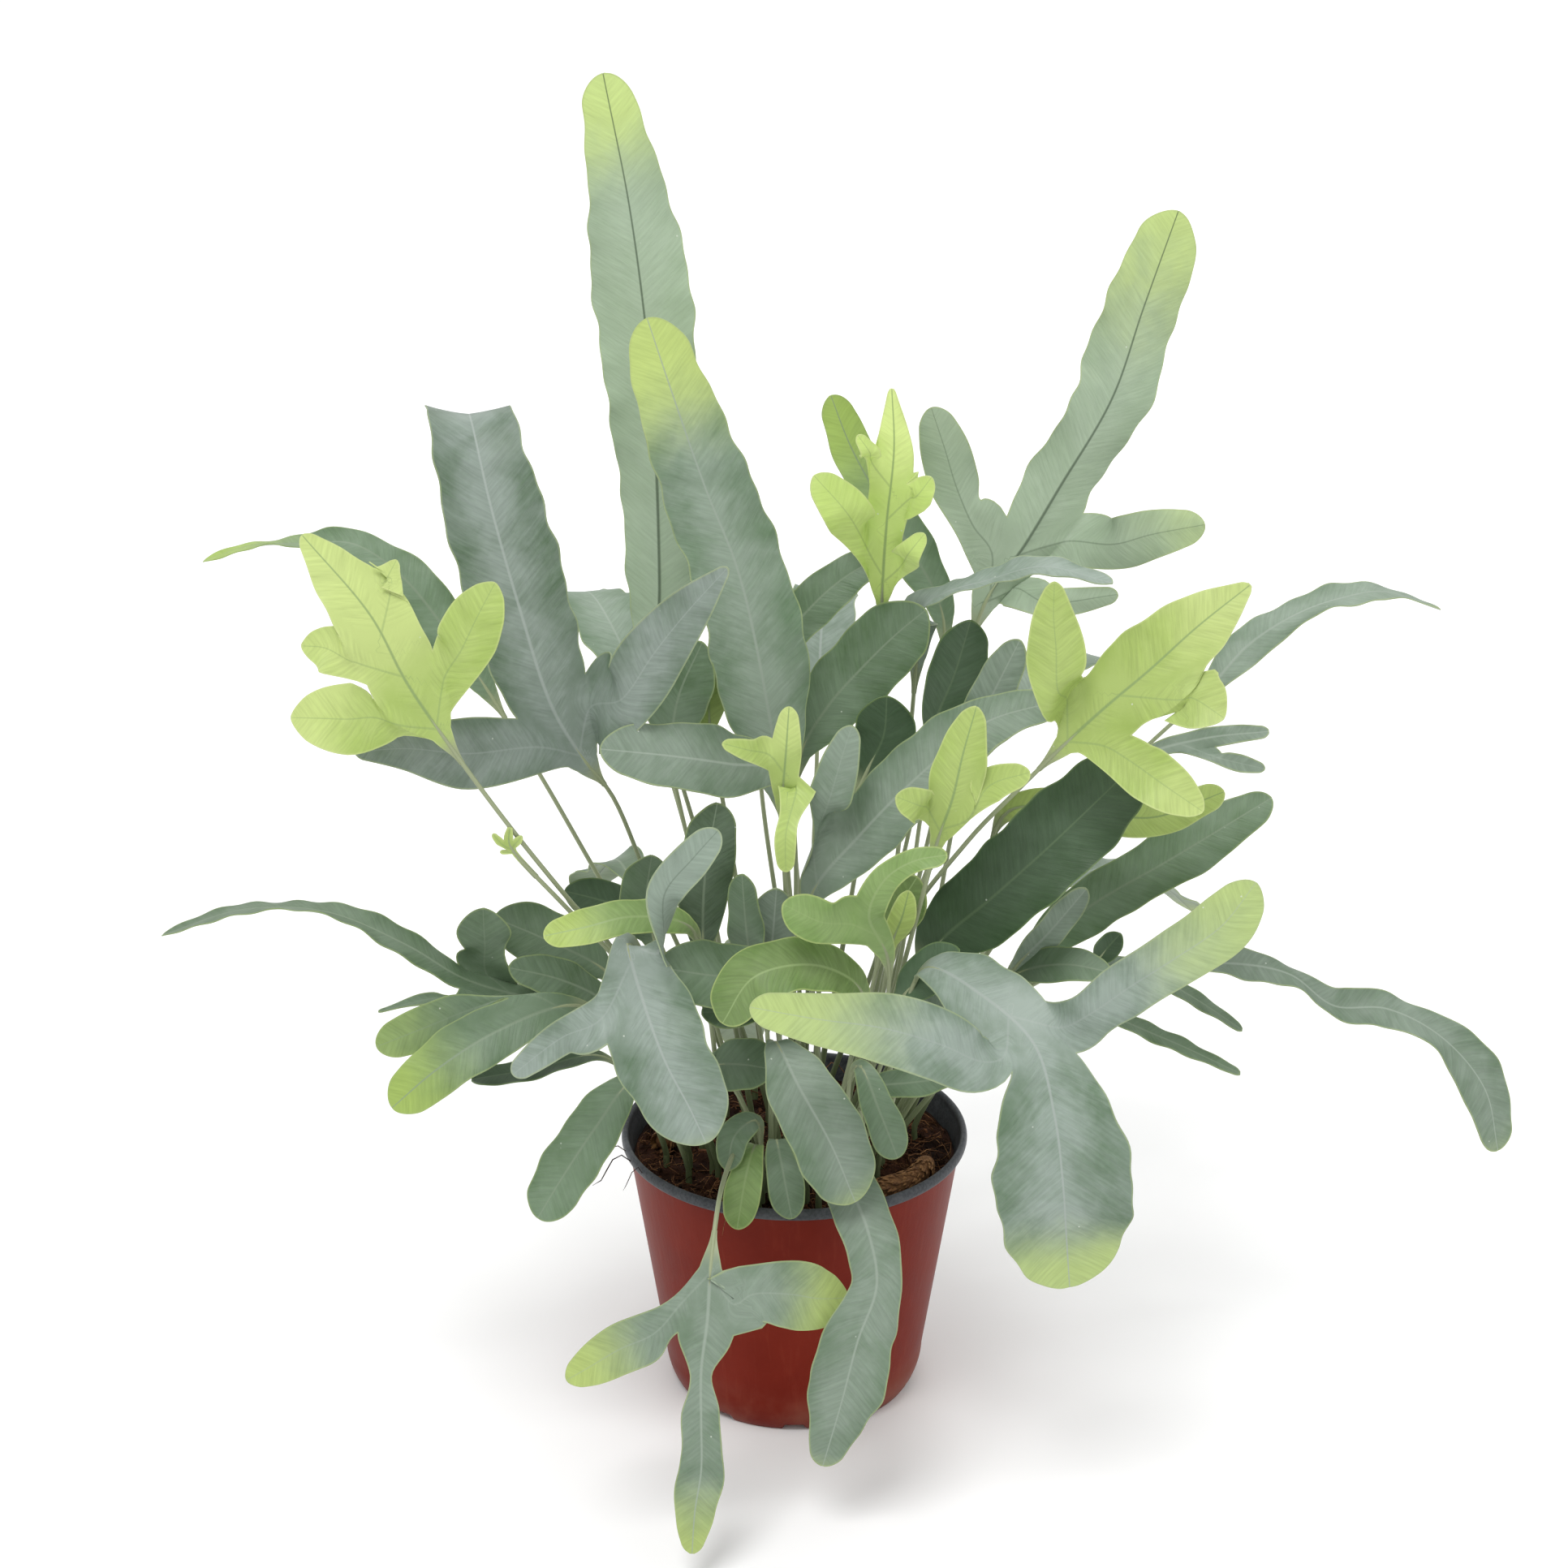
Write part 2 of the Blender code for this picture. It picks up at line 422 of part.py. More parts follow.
        "rib": [(96, 76, 158), (116, 92, 158), (136, 106, 146), (152, 118, 128)],
        "half": [4, 10, 11, 10, 6], "face": [(0, -2, 9), (3, 3, 9)], "wave": (2, 2),
    },
    "rear_hanging": {
        "foot": (-4, 47), "stalk": [(-8, 64, 122), (-12, 84, 132)],
        "rib": [(-14, 98, 128), (-18, 116, 112), (-20, 130, 88), (-20, 138, 60)],
        "half": [4, 9, 10, 10, 7], "face": [(0, 2, 9), (0, 9, 2)], "wave": (2, 2),
    },
}

PALETTE = {
    "pot_plastic": ((0.36, 0.07, 0.035), 0.45),
    "substrate": ((0.045, 0.018, 0.010), 0.95),
    "rhizome_scales": ((0.20, 0.09, 0.03), 0.85),
    "frond_green": ((0.17, 0.27, 0.18), 0.5),
    "frond_bright": ((0.42, 0.55, 0.12), 0.5),
}


def clear_scene():
    for item in list(bpy.data.objects):
        bpy.data.objects.remove(item)


def new_collection(name):
    collection = bpy.data.collections.new(name)
    bpy.context.scene.collection.children.link(collection)
    return collection


def principled(name):
    colour, roughness = PALETTE[name]
    material = bpy.data.materials.get(name) or bpy.data.materials.new(name)
    material.use_nodes = True
    shader = material.node_tree.nodes["Principled BSDF"]
    shader.inputs["Base Color"].default_value = (*colour, 1)
    shader.inputs["Roughness"].default_value = roughness
    return material


def add_object(name, data, material, collection):
    item = bpy.data.objects.new(name, data)
    data.materials.append(principled(material))
    collection.objects.link(item)
    return item


def wall_radius(height):
    """Outer radius of the pot's straight wall at this height."""
    share = (height - SHOULDER_HEIGHT) / (POT_HEIGHT - LIP_HEIGHT - SHOULDER_HEIGHT)
    return SHOULDER_RADIUS + share * (RIM_RADIUS - LIP_OVERHANG - SHOULDER_RADIUS)


def soil_height(radius):
    """Height of the substrate's top, a low cone with its peak on the axis."""
    edge = wall_radius(POT_HEIGHT - SOIL_BELOW_RIM) - WALL - CLEARANCE
    return POT_HEIGHT - SOIL_BELOW_RIM + SOIL_CROWN * max(0.0, 1 - radius / edge)


def turned(name, profile, steps, material, collection):
    """A profile of (radius, height) points in millimetres, turned round Z. It runs down its outer side."""
    mesh = bpy.data.meshes.new(name)
    points = [(radius * MM, 0, height * MM) for radius, height in profile]
    mesh.from_pydata(points, [(i, i + 1) for i in range(len(points) - 1)], [])
    item = add_object(name, mesh, material, collection)
    screw = item.modifiers.new("turn", "SCREW")
    screw.steps = screw.render_steps = steps
    screw.use_merge_vertices = True
    screw.merge_threshold = 0.0001
    return item


def add_pot(parts, cutters):
    inner_foot = BASE_RADIUS - WALL
    shoulder_in = SHOULDER_RADIUS - WALL
    under_lip = POT_HEIGHT - LIP_HEIGHT
    bead = 0.35 * LIP_HEIGHT
    profile = [
        (0, FLOOR),
        (inner_foot, FLOOR),
        (0.5 * (inner_foot + shoulder_in) + SHOULDER_BULGE, 0.4 * SHOULDER_HEIGHT),
        (shoulder_in, SHOULDER_HEIGHT),
        (wall_radius(under_lip) - WALL, under_lip),
        (wall_radius(POT_HEIGHT) - WALL, POT_HEIGHT - bead),
        (RIM_RADIUS - LIP_OVERHANG, POT_HEIGHT),
        (RIM_RADIUS - 0.3 * LIP_OVERHANG, POT_HEIGHT - 0.2 * bead),
        (RIM_RADIUS, POT_HEIGHT - bead),
        (RIM_RADIUS, under_lip + 0.5 * bead),
        (RIM_RADIUS - 0.4 * LIP_OVERHANG, under_lip),
        (wall_radius(under_lip), under_lip),
        (SHOULDER_RADIUS, SHOULDER_HEIGHT),
        (0.5 * (BASE_RADIUS + SHOULDER_RADIUS) + SHOULDER_BULGE, 0.4 * SHOULDER_HEIGHT),
        (BASE_RADIUS, 0),
        (0, 0),
    ]
    pot = turned("pot", profile, POT_STEPS, "pot_plastic", parts)
    tangent, inward, up = DRAIN_SIZE
    for index in range(DRAIN_COUNT):
        angle = 2 * math.pi * (index + 0.5) / DRAIN_COUNT
        reach = BASE_RADIUS - 0.5 * inward + CUTTER_REACH
        bpy.ops.mesh.primitive_cube_add(size=1)
        cutter = bpy.context.object
        cutter.name = f"drain_cutter_{index}"
        cutter.scale = (inward * MM, tangent * MM, 2 * up * MM)
        cutter.location = (reach * MM * math.cos(angle), reach * MM * math.sin(angle), 0)
        cutter.rotation_euler.z = angle
        cutter.hide_render = True
        cutter.display_type = "WIRE"
        for home in list(cutter.users_collection):
            home.objects.unlink(cutter)
        cutters.objects.link(cutter)
        cut = pot.modifiers.new(f"drain_{index}", "BOOLEAN")
        cut.operation = "DIFFERENCE"
        cut.object = cutter


def add_soil(parts):
    edge_height = POT_HEIGHT - SOIL_BELOW_RIM
    skin = WALL + CLEARANCE
    foot = BASE_RADIUS - skin - SOIL_FOOT_INSET
    profile = [
        (0, soil_height(0)),
        (wall_radius(edge_height) - skin, edge_height),
        (SHOULDER_RADIUS - skin, SHOULDER_HEIGHT),
        (foot, FLOOR + CLEARANCE),
        (0, FLOOR + CLEARANCE),
    ]
    turned("substrate", profile, SOIL_STEPS, "substrate", parts)


def add_rhizome(name, route, parts):
    """A creeping stem: a tube along its route, lying on the substrate."""
    curve = bpy.data.curves.new(name, "CURVE")
    curve.dimensions = "3D"
    curve.bevel_depth = RHIZOME_RADIUS * MM
    curve.bevel_resolution = 1
    curve.use_fill_caps = True
    path = smooth_path(set_out([(x, y, 0) for x, y in route]), RHIZOME_STEPS)
    reach = np.hypot(path[:, 0], path[:, 1])
    heights = [soil_height(radius) + RHIZOME_RADIUS + 2 * CLEARANCE for radius in reach - RHIZOME_RADIUS]
    spline = curve.splines.new("POLY")
    spline.points.add(len(path) - 1)
    for index, (point, height) in enumerate(zip(path, heights)):
        ends = min(index, len(path) - 1 - index)
        spline.points[index].co = (point[0] * MM, point[1] * MM, height * MM, 1)
        spline.points[index].radius = RHIZOME_END if ends == 0 else 1.0
    return add_object(name, curve, "rhizome_scales", parts)


def smooth_path(points, per_span=10):
    """A smooth curve through the points: cubic Hermite spans with centripetal knots."""
    points = np.asarray(points, float)
    chords = np.linalg.norm(np.diff(points, axis=0), axis=1)
    knots = np.concatenate([[0], np.cumsum(np.sqrt(chords))])
    slopes = np.gradient(points, knots, axis=0)
    steps = np.arange(per_span)[:, None] / per_span
    spans = []
    for first in range(len(points) - 1):
        width = knots[first + 1] - knots[first]
        square, cube = steps ** 2, steps ** 3
        spans.append(
            (2 * cube - 3 * square + 1) * points[first]
            + (cube - 2 * square + steps) * width * slopes[first]
            + (3 * square - 2 * cube) * points[first + 1]
            + (cube - square) * width * slopes[first + 1]
        )
    return np.vstack([*spans, points[-1:]])


def lengths_along(path):
    return np.concatenate([[0], np.cumsum(np.linalg.norm(np.diff(path, axis=0), axis=1))])


def read_path(path, distances):
    """Points of the path at these distances from its start."""
    along = lengths_along(path)
    return np.stack([np.interp(distances, along, path[:, axis]) for axis in range(3)], axis=1)


def unit(vectors):
    return vectors / np.linalg.norm(vectors, axis=-1, keepdims=True)


def even_steps(values, shares):
    """Values given at even steps from 0 to 1, read at these shares."""
    values = np.asarray(values, float)
    known = np.linspace(0, 1, len(values))
    if len(values) == 1:
        return np.repeat(values, len(shares), axis=0)
    if values.ndim == 1:
        return np.interp(shares, known, values)
    return np.stack([np.interp(shares, known, values[:, axis]) for axis in range(3)], axis=1)


def frames(path, distances, faces):
    """Points, upper-side normals and right-hand directions along a path."""
    step = TANGENT_STEP * lengths_along(path)[-1]
    points = read_path(path, distances)
    tangents = unit(read_path(path, distances + step) - read_path(path, distances - step))
    normals = unit(faces - np.sum(faces * tangents, axis=1, keepdims=True) * tangents)
    return points, normals, unit(np.cross(tangents, normals))


def half_widths(half, shares, length):
    """Half widths along a blade or lobe, closing in an ellipse over the last stretch."""
    widths = even_steps(half, shares)
    closing = min(LONGEST_CLOSING, CLOSING * half[-1] / length)
    beyond = np.clip((shares - 1 + closing) / closing, 0, 1)
    return np.maximum(widths * np.sqrt(1 - beyond ** 2), TIP_HALF)


def set_out(points):
    """Moves frond points with the pot: outwards with its rim, and up with its substrate."""
    points = np.array(points, float)
    reach = np.hypot(points[:, 0], points[:, 1])
    push = 1 + (RIM_RADIUS - SET_OUT_RIM) * np.minimum(1, reach / SET_OUT_RIM) / np.maximum(reach, TINY)
    points[:, :2] *= push[:, None]
    points[:, 2] += soil_height(0) - SOIL_CROWN / 2 - SET_OUT_SOIL
    return points


def blade_shares(lobes):
    """Shares of the rib that carry a row of points: each lobe's ends and middle, and no wide gaps between."""
    marks = {0.0, LAST_ROW, 1.0}
    for _, start, end, *_ in lobes:
        marks |= {start, 0.5 * (start + end), end}
    marks = sorted(marks)
    shares = [0.0]
    for low, high in zip(marks, marks[1:]):
        if high - low < COLUMN_MERGE:
            continue
        pieces = math.ceil((high - low) / COLUMN_STEP)
        shares += [low + (high - low) * piece / pieces for piece in range(1, pieces + 1)]
    return np.array(shares)


def frond_surface(frond):
    """Points, quads and a thickness share for the middle surface of a frond, stalk and blade together."""
    lobes = frond.get("lobes", [])
    anchor = set_out([(*frond["foot"], 0)])[0]
    ground = soil_height(math.hypot(anchor[0], anchor[1])) + 1.5 * CLEARANCE
    stalk = set_out(frond["stalk"])
    rib = set_out(frond["rib"])
    start = [(anchor[0], anchor[1], ground), (anchor[0], anchor[1], ground + STALK_RISE)]
    path = smooth_path(np.vstack([start, stalk, rib]))
    along = lengths_along(path)
    base = along[np.argmin(np.linalg.norm(path - rib[0], axis=1))]
    length = along[-1] - base

    shares = blade_shares(lobes)
    stalk_at = base * np.linspace(0, 1, STALK_COLUMNS + 1)[:-1]
    distances = np.concatenate([stalk_at, base + shares * length])
    faces = np.vstack([
        np.repeat([frond["face"][0]], STALK_COLUMNS, axis=0),
        even_steps(frond["face"], shares),
    ])
    points, normals, right = frames(path, distances, faces)
    half = np.concatenate([
        np.full(STALK_COLUMNS, STALK_HALF),
        half_widths(frond["half"], shares, length),
    ])
    height, count = frond["wave"]
    blade = np.concatenate([np.zeros(STALK_COLUMNS), np.sin(math.pi * np.clip(shares, 0, 1)) ** 0.5])
    turn = np.concatenate([np.zeros(STALK_COLUMNS), 2 * math.pi * count * shares])
    vertices = [points]
    for side, phase in ((-1, 0.0), (1, 2.0)):
        lift = FOLD * half * (blade > 0) + height * blade * np.sin(turn + phase)
        vertices.append(points + side * half[:, None] * right + lift[:, None] * normals)
    rows = len(points)
    quads = []
    for row in range(rows - 1):
        quads.append((row, row + 1, rows + row + 1, rows + row))
        quads.append((row, 2 * rows + row, 2 * rows + row + 1, row + 1))
    blade_share = BLADE_THICK / (2 * STALK_HALF)
    thick = np.concatenate([np.ones(STALK_COLUMNS), np.full(len(shares), blade_share)])
    vertices = np.vstack(vertices)
    thickness = np.tile(thick, 3)

    for side, low, high, lobe_rib, lobe_half, lobe_face in lobes:
        first = STALK_COLUMNS + int(np.argmin(abs(shares - low)))
        last = STALK_COLUMNS + int(np.argmin(abs(shares - high)))
        block = rows if side < 0 else 2 * rows
        edge = np.arange(block + first, block + last + 1)
        middle = (first + last) // 2
        made, faces_made = lobe_surface(
            vertices[edge], points[middle], normals[middle], set_out(lobe_rib), lobe_half, lobe_face
        )
        start_at = len(vertices)
        vertices = np.vstack([vertices, made])
        thickness = np.append(thickness, np.full(len(made), blade_share))
        names = np.concatenate([edge, np.arange(start_at, start_at + len(made))])
        grid = names[faces_made]
        quads += [tuple(quad) for quad in (grid[:, ::-1] if side < 0 else grid)]
    return vertices, quads, thickness


def lobe_surface(edge, rib_point, rib_normal, route, half, face):
    """Points of a lobe beyond the margin that it grows from, and its quads over margin and points."""
    middle = edge[len(edge) // 2]
    path = smooth_path(np.vstack([rib_point, middle, route]))
    along = lengths_along(path)
    base = along[np.argmin(np.linalg.norm(path - middle, axis=1))]
    length = along[-1] - base
    shares = LOBE_SHARES
    faces = even_steps([unit(rib_normal), unit(np.array(face, float))], np.minimum(1, LOBE_TURN * shares))
    points, normals, right = frames(path, base + shares * length, faces)
    span = edge[-1] - edge[0]
    right = right * np.sign(np.sum(right[0] * span))
    start_half = 0.5 * np.linalg.norm(span)
    widths = half_widths([start_half, *half], shares, length)
    across = np.linspace(-1, 1, len(edge))
    grid = points[:, None] + across[None, :, None] * widths[:, None, None] * right[:, None]
    lift = FOLD * widths[:, None] * abs(across)[None, :]
    grid = grid + lift[:, :, None] * normals[:, None]
    fade = np.clip(1 - shares / LOBE_BLEND, 0, 1)[:, None, None]
    grid = grid + fade * (edge[None] - grid[:1])
    columns = len(edge)
    quads = [
        (row * columns + column, (row + 1) * columns + column,
         (row + 1) * columns + column + 1, row * columns + column + 1)
        for row in range(len(shares) - 1)
        for column in range(columns - 1)
    ]
    return grid[1:].reshape(-1, 3), np.array(quads)


def add_frond(name, frond, parts):
    vertices, quads, thickness = frond_surface(frond)
    mesh = bpy.data.meshes.new(name)
    mesh.from_pydata((vertices * MM).tolist(), [], [tuple(int(i) for i in quad) for quad in quads])
    material = "frond_bright" if name.startswith("bright") else "frond_green"
    item = add_object("frond_" + name, mesh, material, parts)
    group = item.vertex_groups.new(name="thickness")
    for index, share in enumerate(thickness):
        group.add([index], float(share), "REPLACE")
    wall = item.modifiers.new("wall", "SOLIDIFY")
    wall.thickness = 2 * STALK_HALF * MM
    wall.offset = 0
    wall.vertex_group = group.name
    mesh.shade_smooth()
    return item


def main():
    clear_scene()
    parts = new_collection("potted_fern")
    cutters = new_collection("cutters")
    add_pot(parts, cutters)
    add_soil(parts)
    for name, route in RHIZOMES.items():
        add_rhizome(name, route, parts)
    for name, frond in FRONDS.items():
        add_frond(name, frond, parts)


main()
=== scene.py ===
import math

import bpy
import numpy as np
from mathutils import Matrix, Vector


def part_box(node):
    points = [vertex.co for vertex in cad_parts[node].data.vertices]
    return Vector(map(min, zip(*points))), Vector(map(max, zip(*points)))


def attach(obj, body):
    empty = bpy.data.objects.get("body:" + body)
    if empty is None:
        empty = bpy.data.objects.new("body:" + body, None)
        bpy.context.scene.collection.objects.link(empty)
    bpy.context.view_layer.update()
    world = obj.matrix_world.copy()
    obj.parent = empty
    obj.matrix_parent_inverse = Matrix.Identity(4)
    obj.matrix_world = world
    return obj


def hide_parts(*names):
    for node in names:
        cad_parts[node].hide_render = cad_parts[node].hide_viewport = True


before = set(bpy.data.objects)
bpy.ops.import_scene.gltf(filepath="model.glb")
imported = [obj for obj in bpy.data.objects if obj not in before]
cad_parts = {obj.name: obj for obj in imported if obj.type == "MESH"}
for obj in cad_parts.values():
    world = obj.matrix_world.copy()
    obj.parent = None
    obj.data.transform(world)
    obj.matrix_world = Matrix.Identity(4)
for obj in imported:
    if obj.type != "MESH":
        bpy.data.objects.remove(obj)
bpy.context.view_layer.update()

mm = 0.001
potHigh, soilHigh = (np.array(list(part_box(node))[1]) / mm for node in ("pot", "substrate"))
rimRadius, potHeight = potHigh[0], potHigh[2]
soilRadius, soilPeak = soilHigh[0], soilHigh[2]
soilCrown = 3.0  # height of the substrate's cone over its edge
print("frame loaded:", len(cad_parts), "nodes, rim radius", round(rimRadius, 1), "mm")


def unit(vectors):
    return vectors / np.maximum(np.linalg.norm(vectors, axis=-1, keepdims=True), 1e-12)


def smoothStep(low, high, values):
    # 0 below low, 1 above high, and 3x^2 - 2x^3 between
    x = np.clip((values - low) / (high - low), 0, 1)
    return x * x * (3 - 2 * x)


def smoothPath(points, perSpan=12):
    # cubic Hermite spans through the points, with knots spaced by the square root of each chord
    points = np.asarray(points, float)
    chords = np.linalg.norm(np.diff(points, axis=0), axis=1)
    knots = np.concatenate([[0], np.cumsum(np.sqrt(chords))])
    slopes = np.gradient(points, knots, axis=0)
    width = np.diff(knots)[:, None, None]
    x = (np.arange(perSpan) / perSpan)[None, :, None]
    start, end = points[:-1, None], points[1:, None]
    leave, arrive = slopes[:-1, None] * width, slopes[1:, None] * width
    spans = (
        (2 * x ** 3 - 3 * x ** 2 + 1) * start + (x ** 3 - 2 * x ** 2 + x) * leave
        + (3 * x ** 2 - 2 * x ** 3) * end + (x ** 3 - x ** 2) * arrive
    )
    return np.vstack([spans.reshape(-1, 3), points[-1:]])


def lengthsAlong(path):
    return np.concatenate([[0], np.cumsum(np.linalg.norm(np.diff(path, axis=0), axis=1))])


def readTable(known, table, where):
    # each column of the table, read between its rows at these places
    table = np.asarray(table, float)
    found = [np.interp(where.ravel(), known, column) for column in table.T]
    return np.stack(found, -1).reshape(*where.shape, table.shape[1])


def evenSteps(values, shares):
    # a smooth curve through values given at even steps from 0 to 1: cubic Hermite, slopes from the neighbours
    values = np.asarray(values, float)
    if len(values) == 1:
        return np.broadcast_to(values[0], shares.shape + values.shape[1:])
    slopes = np.gradient(values, axis=0)
    at = np.clip(shares, 0, 1) * (len(values) - 1)
    low = np.minimum(at.astype(int), len(values) - 2)
    x = at - low
    if values.ndim > 1:
        x = x[..., None]
    return (
        (2 * x ** 3 - 3 * x ** 2 + 1) * values[low] + (x ** 3 - 2 * x ** 2 + x) * slopes[low]
        + (3 * x ** 2 - 2 * x ** 3) * values[low + 1] + (x ** 3 - x ** 2) * slopes[low + 1]
    )


def waves(x, y, sizes, draw):
    # rough ground: sine waves of each size, three headings each, summed and scaled to about -1..1
    total = np.zeros(np.broadcast(x, y).shape)
    for size in sizes:
        for _ in range(3):
            heading, start = draw.uniform(0, 2 * math.pi, 2)
            along = x * math.cos(heading) + y * math.sin(heading)
            total = total + (size / sizes[0]) ** 0.8 * np.sin(2 * math.pi * along / size + start)
    return total / 3


def gridFaces(rows, columns, wrap=False):
    # quads over a grid of rows x columns points, closed round when wrap is set
    row = np.arange(rows - 1)[:, None]
    column = np.arange(columns if wrap else columns - 1)[None, :]
    after = (column + 1) % columns
    a, b = row * columns + column, row * columns + after
    return np.stack([a, b, b + columns, a + columns], -1).reshape(-1, 4)


def makePiece(name, vertices, faces, material, replaced=(), attributes=None, smoothAngle=50):
    # a mesh at the origin from points in millimetres, with point attributes; it rides the plant's one body
    mesh = bpy.data.meshes.new(name)
    mesh.from_pydata((vertices * mm).tolist(), [], [list(map(int, face)) for face in faces])
    mesh.polygons.foreach_set("use_smooth", np.ones(len(mesh.polygons), bool))
    mesh.set_sharp_from_angle(angle=math.radians(smoothAngle))
    for key, values in (attributes or {}).items():
        kind = "FLOAT_VECTOR" if values.ndim == 2 else "FLOAT"
        layer = mesh.attributes.new(key, kind, "POINT")
        layer.data.foreach_set("vector" if values.ndim == 2 else "value", values.astype(np.float32).ravel())
    mesh.validate()
    mesh.materials.append(material)
    piece = bpy.data.objects.new(name, mesh)
    bpy.context.scene.collection.objects.link(piece)
    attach(piece, "root")
    for node in replaced:
        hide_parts(node)
    return piece


def addNode(tree, kind, inputs=None, **settings):
    # a shader node whose inputs are given as plain values or as the sockets that feed them
    node = tree.nodes.new(kind)
    for key, value in settings.items():
        setattr(node, key, value)
    for key, value in (inputs or {}).items():
        if isinstance(value, bpy.types.NodeSocket):
            tree.links.new(value, node.inputs[key])
        else:
            node.inputs[key].default_value = value
    return node


def maths(tree, operation, a, b=0.0, clamp=False):
    node = addNode(tree, "ShaderNodeMath", {0: a, 1: b}, operation=operation, use_clamp=clamp)
    return node.outputs[0]


def mapRange(tree, value, low, high, newLow=0.0, newHigh=1.0):
    node = addNode(
        tree, "ShaderNodeMapRange",
        {"Value": value, "From Min": low, "From Max": high, "To Min": newLow, "To Max": newHigh},
        interpolation_type="SMOOTHSTEP",
    )
    return node.outputs["Result"]


def times(tree, a, b):
    return maths(tree, "MULTIPLY", a, b)


def centred(tree, value, spread):
    # a pattern of 0..1 moved to lie round 0, this far apart
    return maths(tree, "MULTIPLY", maths(tree, "SUBTRACT", value, 0.5), spread)


def mixColour(tree, factor, a, b, blend="MIX"):
    node = addNode(tree, "ShaderNodeMix", data_type="RGBA", blend_type=blend)
    for socket, value in ((node.inputs[0], factor), (node.inputs[6], a), (node.inputs[7], b)):
        if isinstance(value, bpy.types.NodeSocket):
            tree.links.new(value, socket)
        else:
            socket.default_value = value if isinstance(value, float) else (*value, 1)
    return node.outputs[2]


def noise(tree, vector, scale, detail=2.0, roughness=0.5, distortion=0.0):
    node = addNode(
        tree, "ShaderNodeTexNoise",
        {"Vector": vector, "Scale": scale, "Detail": detail, "Roughness": roughness,
         "Distortion": distortion},
    )
    return node.outputs["Fac"]


def newGroup(name, inputs, outputs):
    # a shader group with named float or vector sockets
    group = bpy.data.node_groups.new(name, "ShaderNodeTree")
    kinds = {"value": "NodeSocketFloat", "vector": "NodeSocketVector"}
    for label, kind in inputs:
        group.interface.new_socket(label, in_out="INPUT", socket_type=kinds[kind])
    for label, kind in outputs:
        group.interface.new_socket(label, in_out="OUTPUT", socket_type=kinds[kind])
    return group, group.nodes.new("NodeGroupInput"), group.nodes.new("NodeGroupOutput")


def attribute(tree, name, output="Fac"):
    return addNode(tree, "ShaderNodeAttribute", attribute_name=name).outputs[output]


def objectPlace(tree):
    return addNode(tree, "ShaderNodeTexCoord").outputs["Object"]


def parts(tree, vector):
    return addNode(tree, "ShaderNodeSeparateXYZ", {0: vector}).outputs


def addRelief(tree, shader, height, strength, distance):
    bump = addNode(tree, "ShaderNodeBump", {"Height": height, "Strength": strength, "Distance": distance})
    tree.links.new(bump.outputs[0], shader.inputs["Normal"])


def newMaterial(name, roughness, specular=0.5):
    material = bpy.data.materials.new(name)
    material.use_nodes = True
    shader = material.node_tree.nodes["Principled BSDF"]
    shader.inputs["Roughness"].default_value = roughness
    shader.inputs["Specular IOR Level"].default_value = specular
    return material, material.node_tree, shader

# Every frond carries four point attributes:
#   leafPlace: distance along the nearest rib, distance from it (both m), and how clear the veins are
#   leafTone:  how young the tissue is, distance to the margin (m), and 0 above or 1 on the under side
#   leafStem:  half width of the rib (m), how much of a stalk the point is, and the frond's brightness: its
#       own tone with painted light and shade on top
#   leafLines: signed distances (m) from the midrib and from the lobes' ribs, which meet it in two rounds


def leafVeinGroup():
    # fine veins that leave the rib at a slant, long soft streaks, and cloudy patches
    group, source, result = newGroup(
        "leafVeins",
        [("Place", "vector"), ("Slant", "value"), ("Fine Scale", "value")],
        [("Fine", "value"), ("Streak", "value"), ("Cloud", "value"), ("Height", "value")],
    )
    along, across, clear = parts(group, source.outputs["Place"])
    skewed = maths(group, "SUBTRACT", along, times(group, across, source.outputs["Slant"]))
    slow = times(group, across, 0.13)
    fineAt = addNode(group, "ShaderNodeCombineXYZ", {0: skewed, 1: slow})
    fine = noise(group, fineAt.outputs[0], source.outputs["Fine Scale"], 2.0, 0.6)
    broad = times(group, across, 0.30)
    streakAt = addNode(group, "ShaderNodeCombineXYZ", {0: skewed, 1: broad})
    streak = noise(group, streakAt.outputs[0], 330.0, 3.0, 0.65, 0.4)
    cloud = noise(group, objectPlace(group), 60.0, 4.0, 0.6, 0.3)
    for label, value in (("Fine", fine), ("Streak", streak)):
        group.links.new(maths(group, "ADD", centred(group, value, clear), 0.5), result.inputs[label])
    group.links.new(cloud, result.inputs["Cloud"])
    group.links.new(times(group, maths(group, "ADD", fine, streak), clear), result.inputs["Height"])
    return group


def speckGroup():
    # a few tiny pale specks scattered on the object
    group, source, result = newGroup("leafSpecks", [("Density", "value")], [("Speck", "value")])
    cells = addNode(group, "ShaderNodeTexVoronoi", {"Vector": objectPlace(group), "Scale": 260.0})
    near = mapRange(group, cells.outputs["Distance"], 0.10, 0.04)
    picked = addNode(group, "ShaderNodeSeparateColor", {0: cells.outputs["Color"]})
    chosen = maths(group, "LESS_THAN", picked.outputs[0], source.outputs["Density"])
    group.links.new(times(group, near, chosen), result.inputs["Speck"])
    return group


veinGroup = leafVeinGroup()
specks = speckGroup()
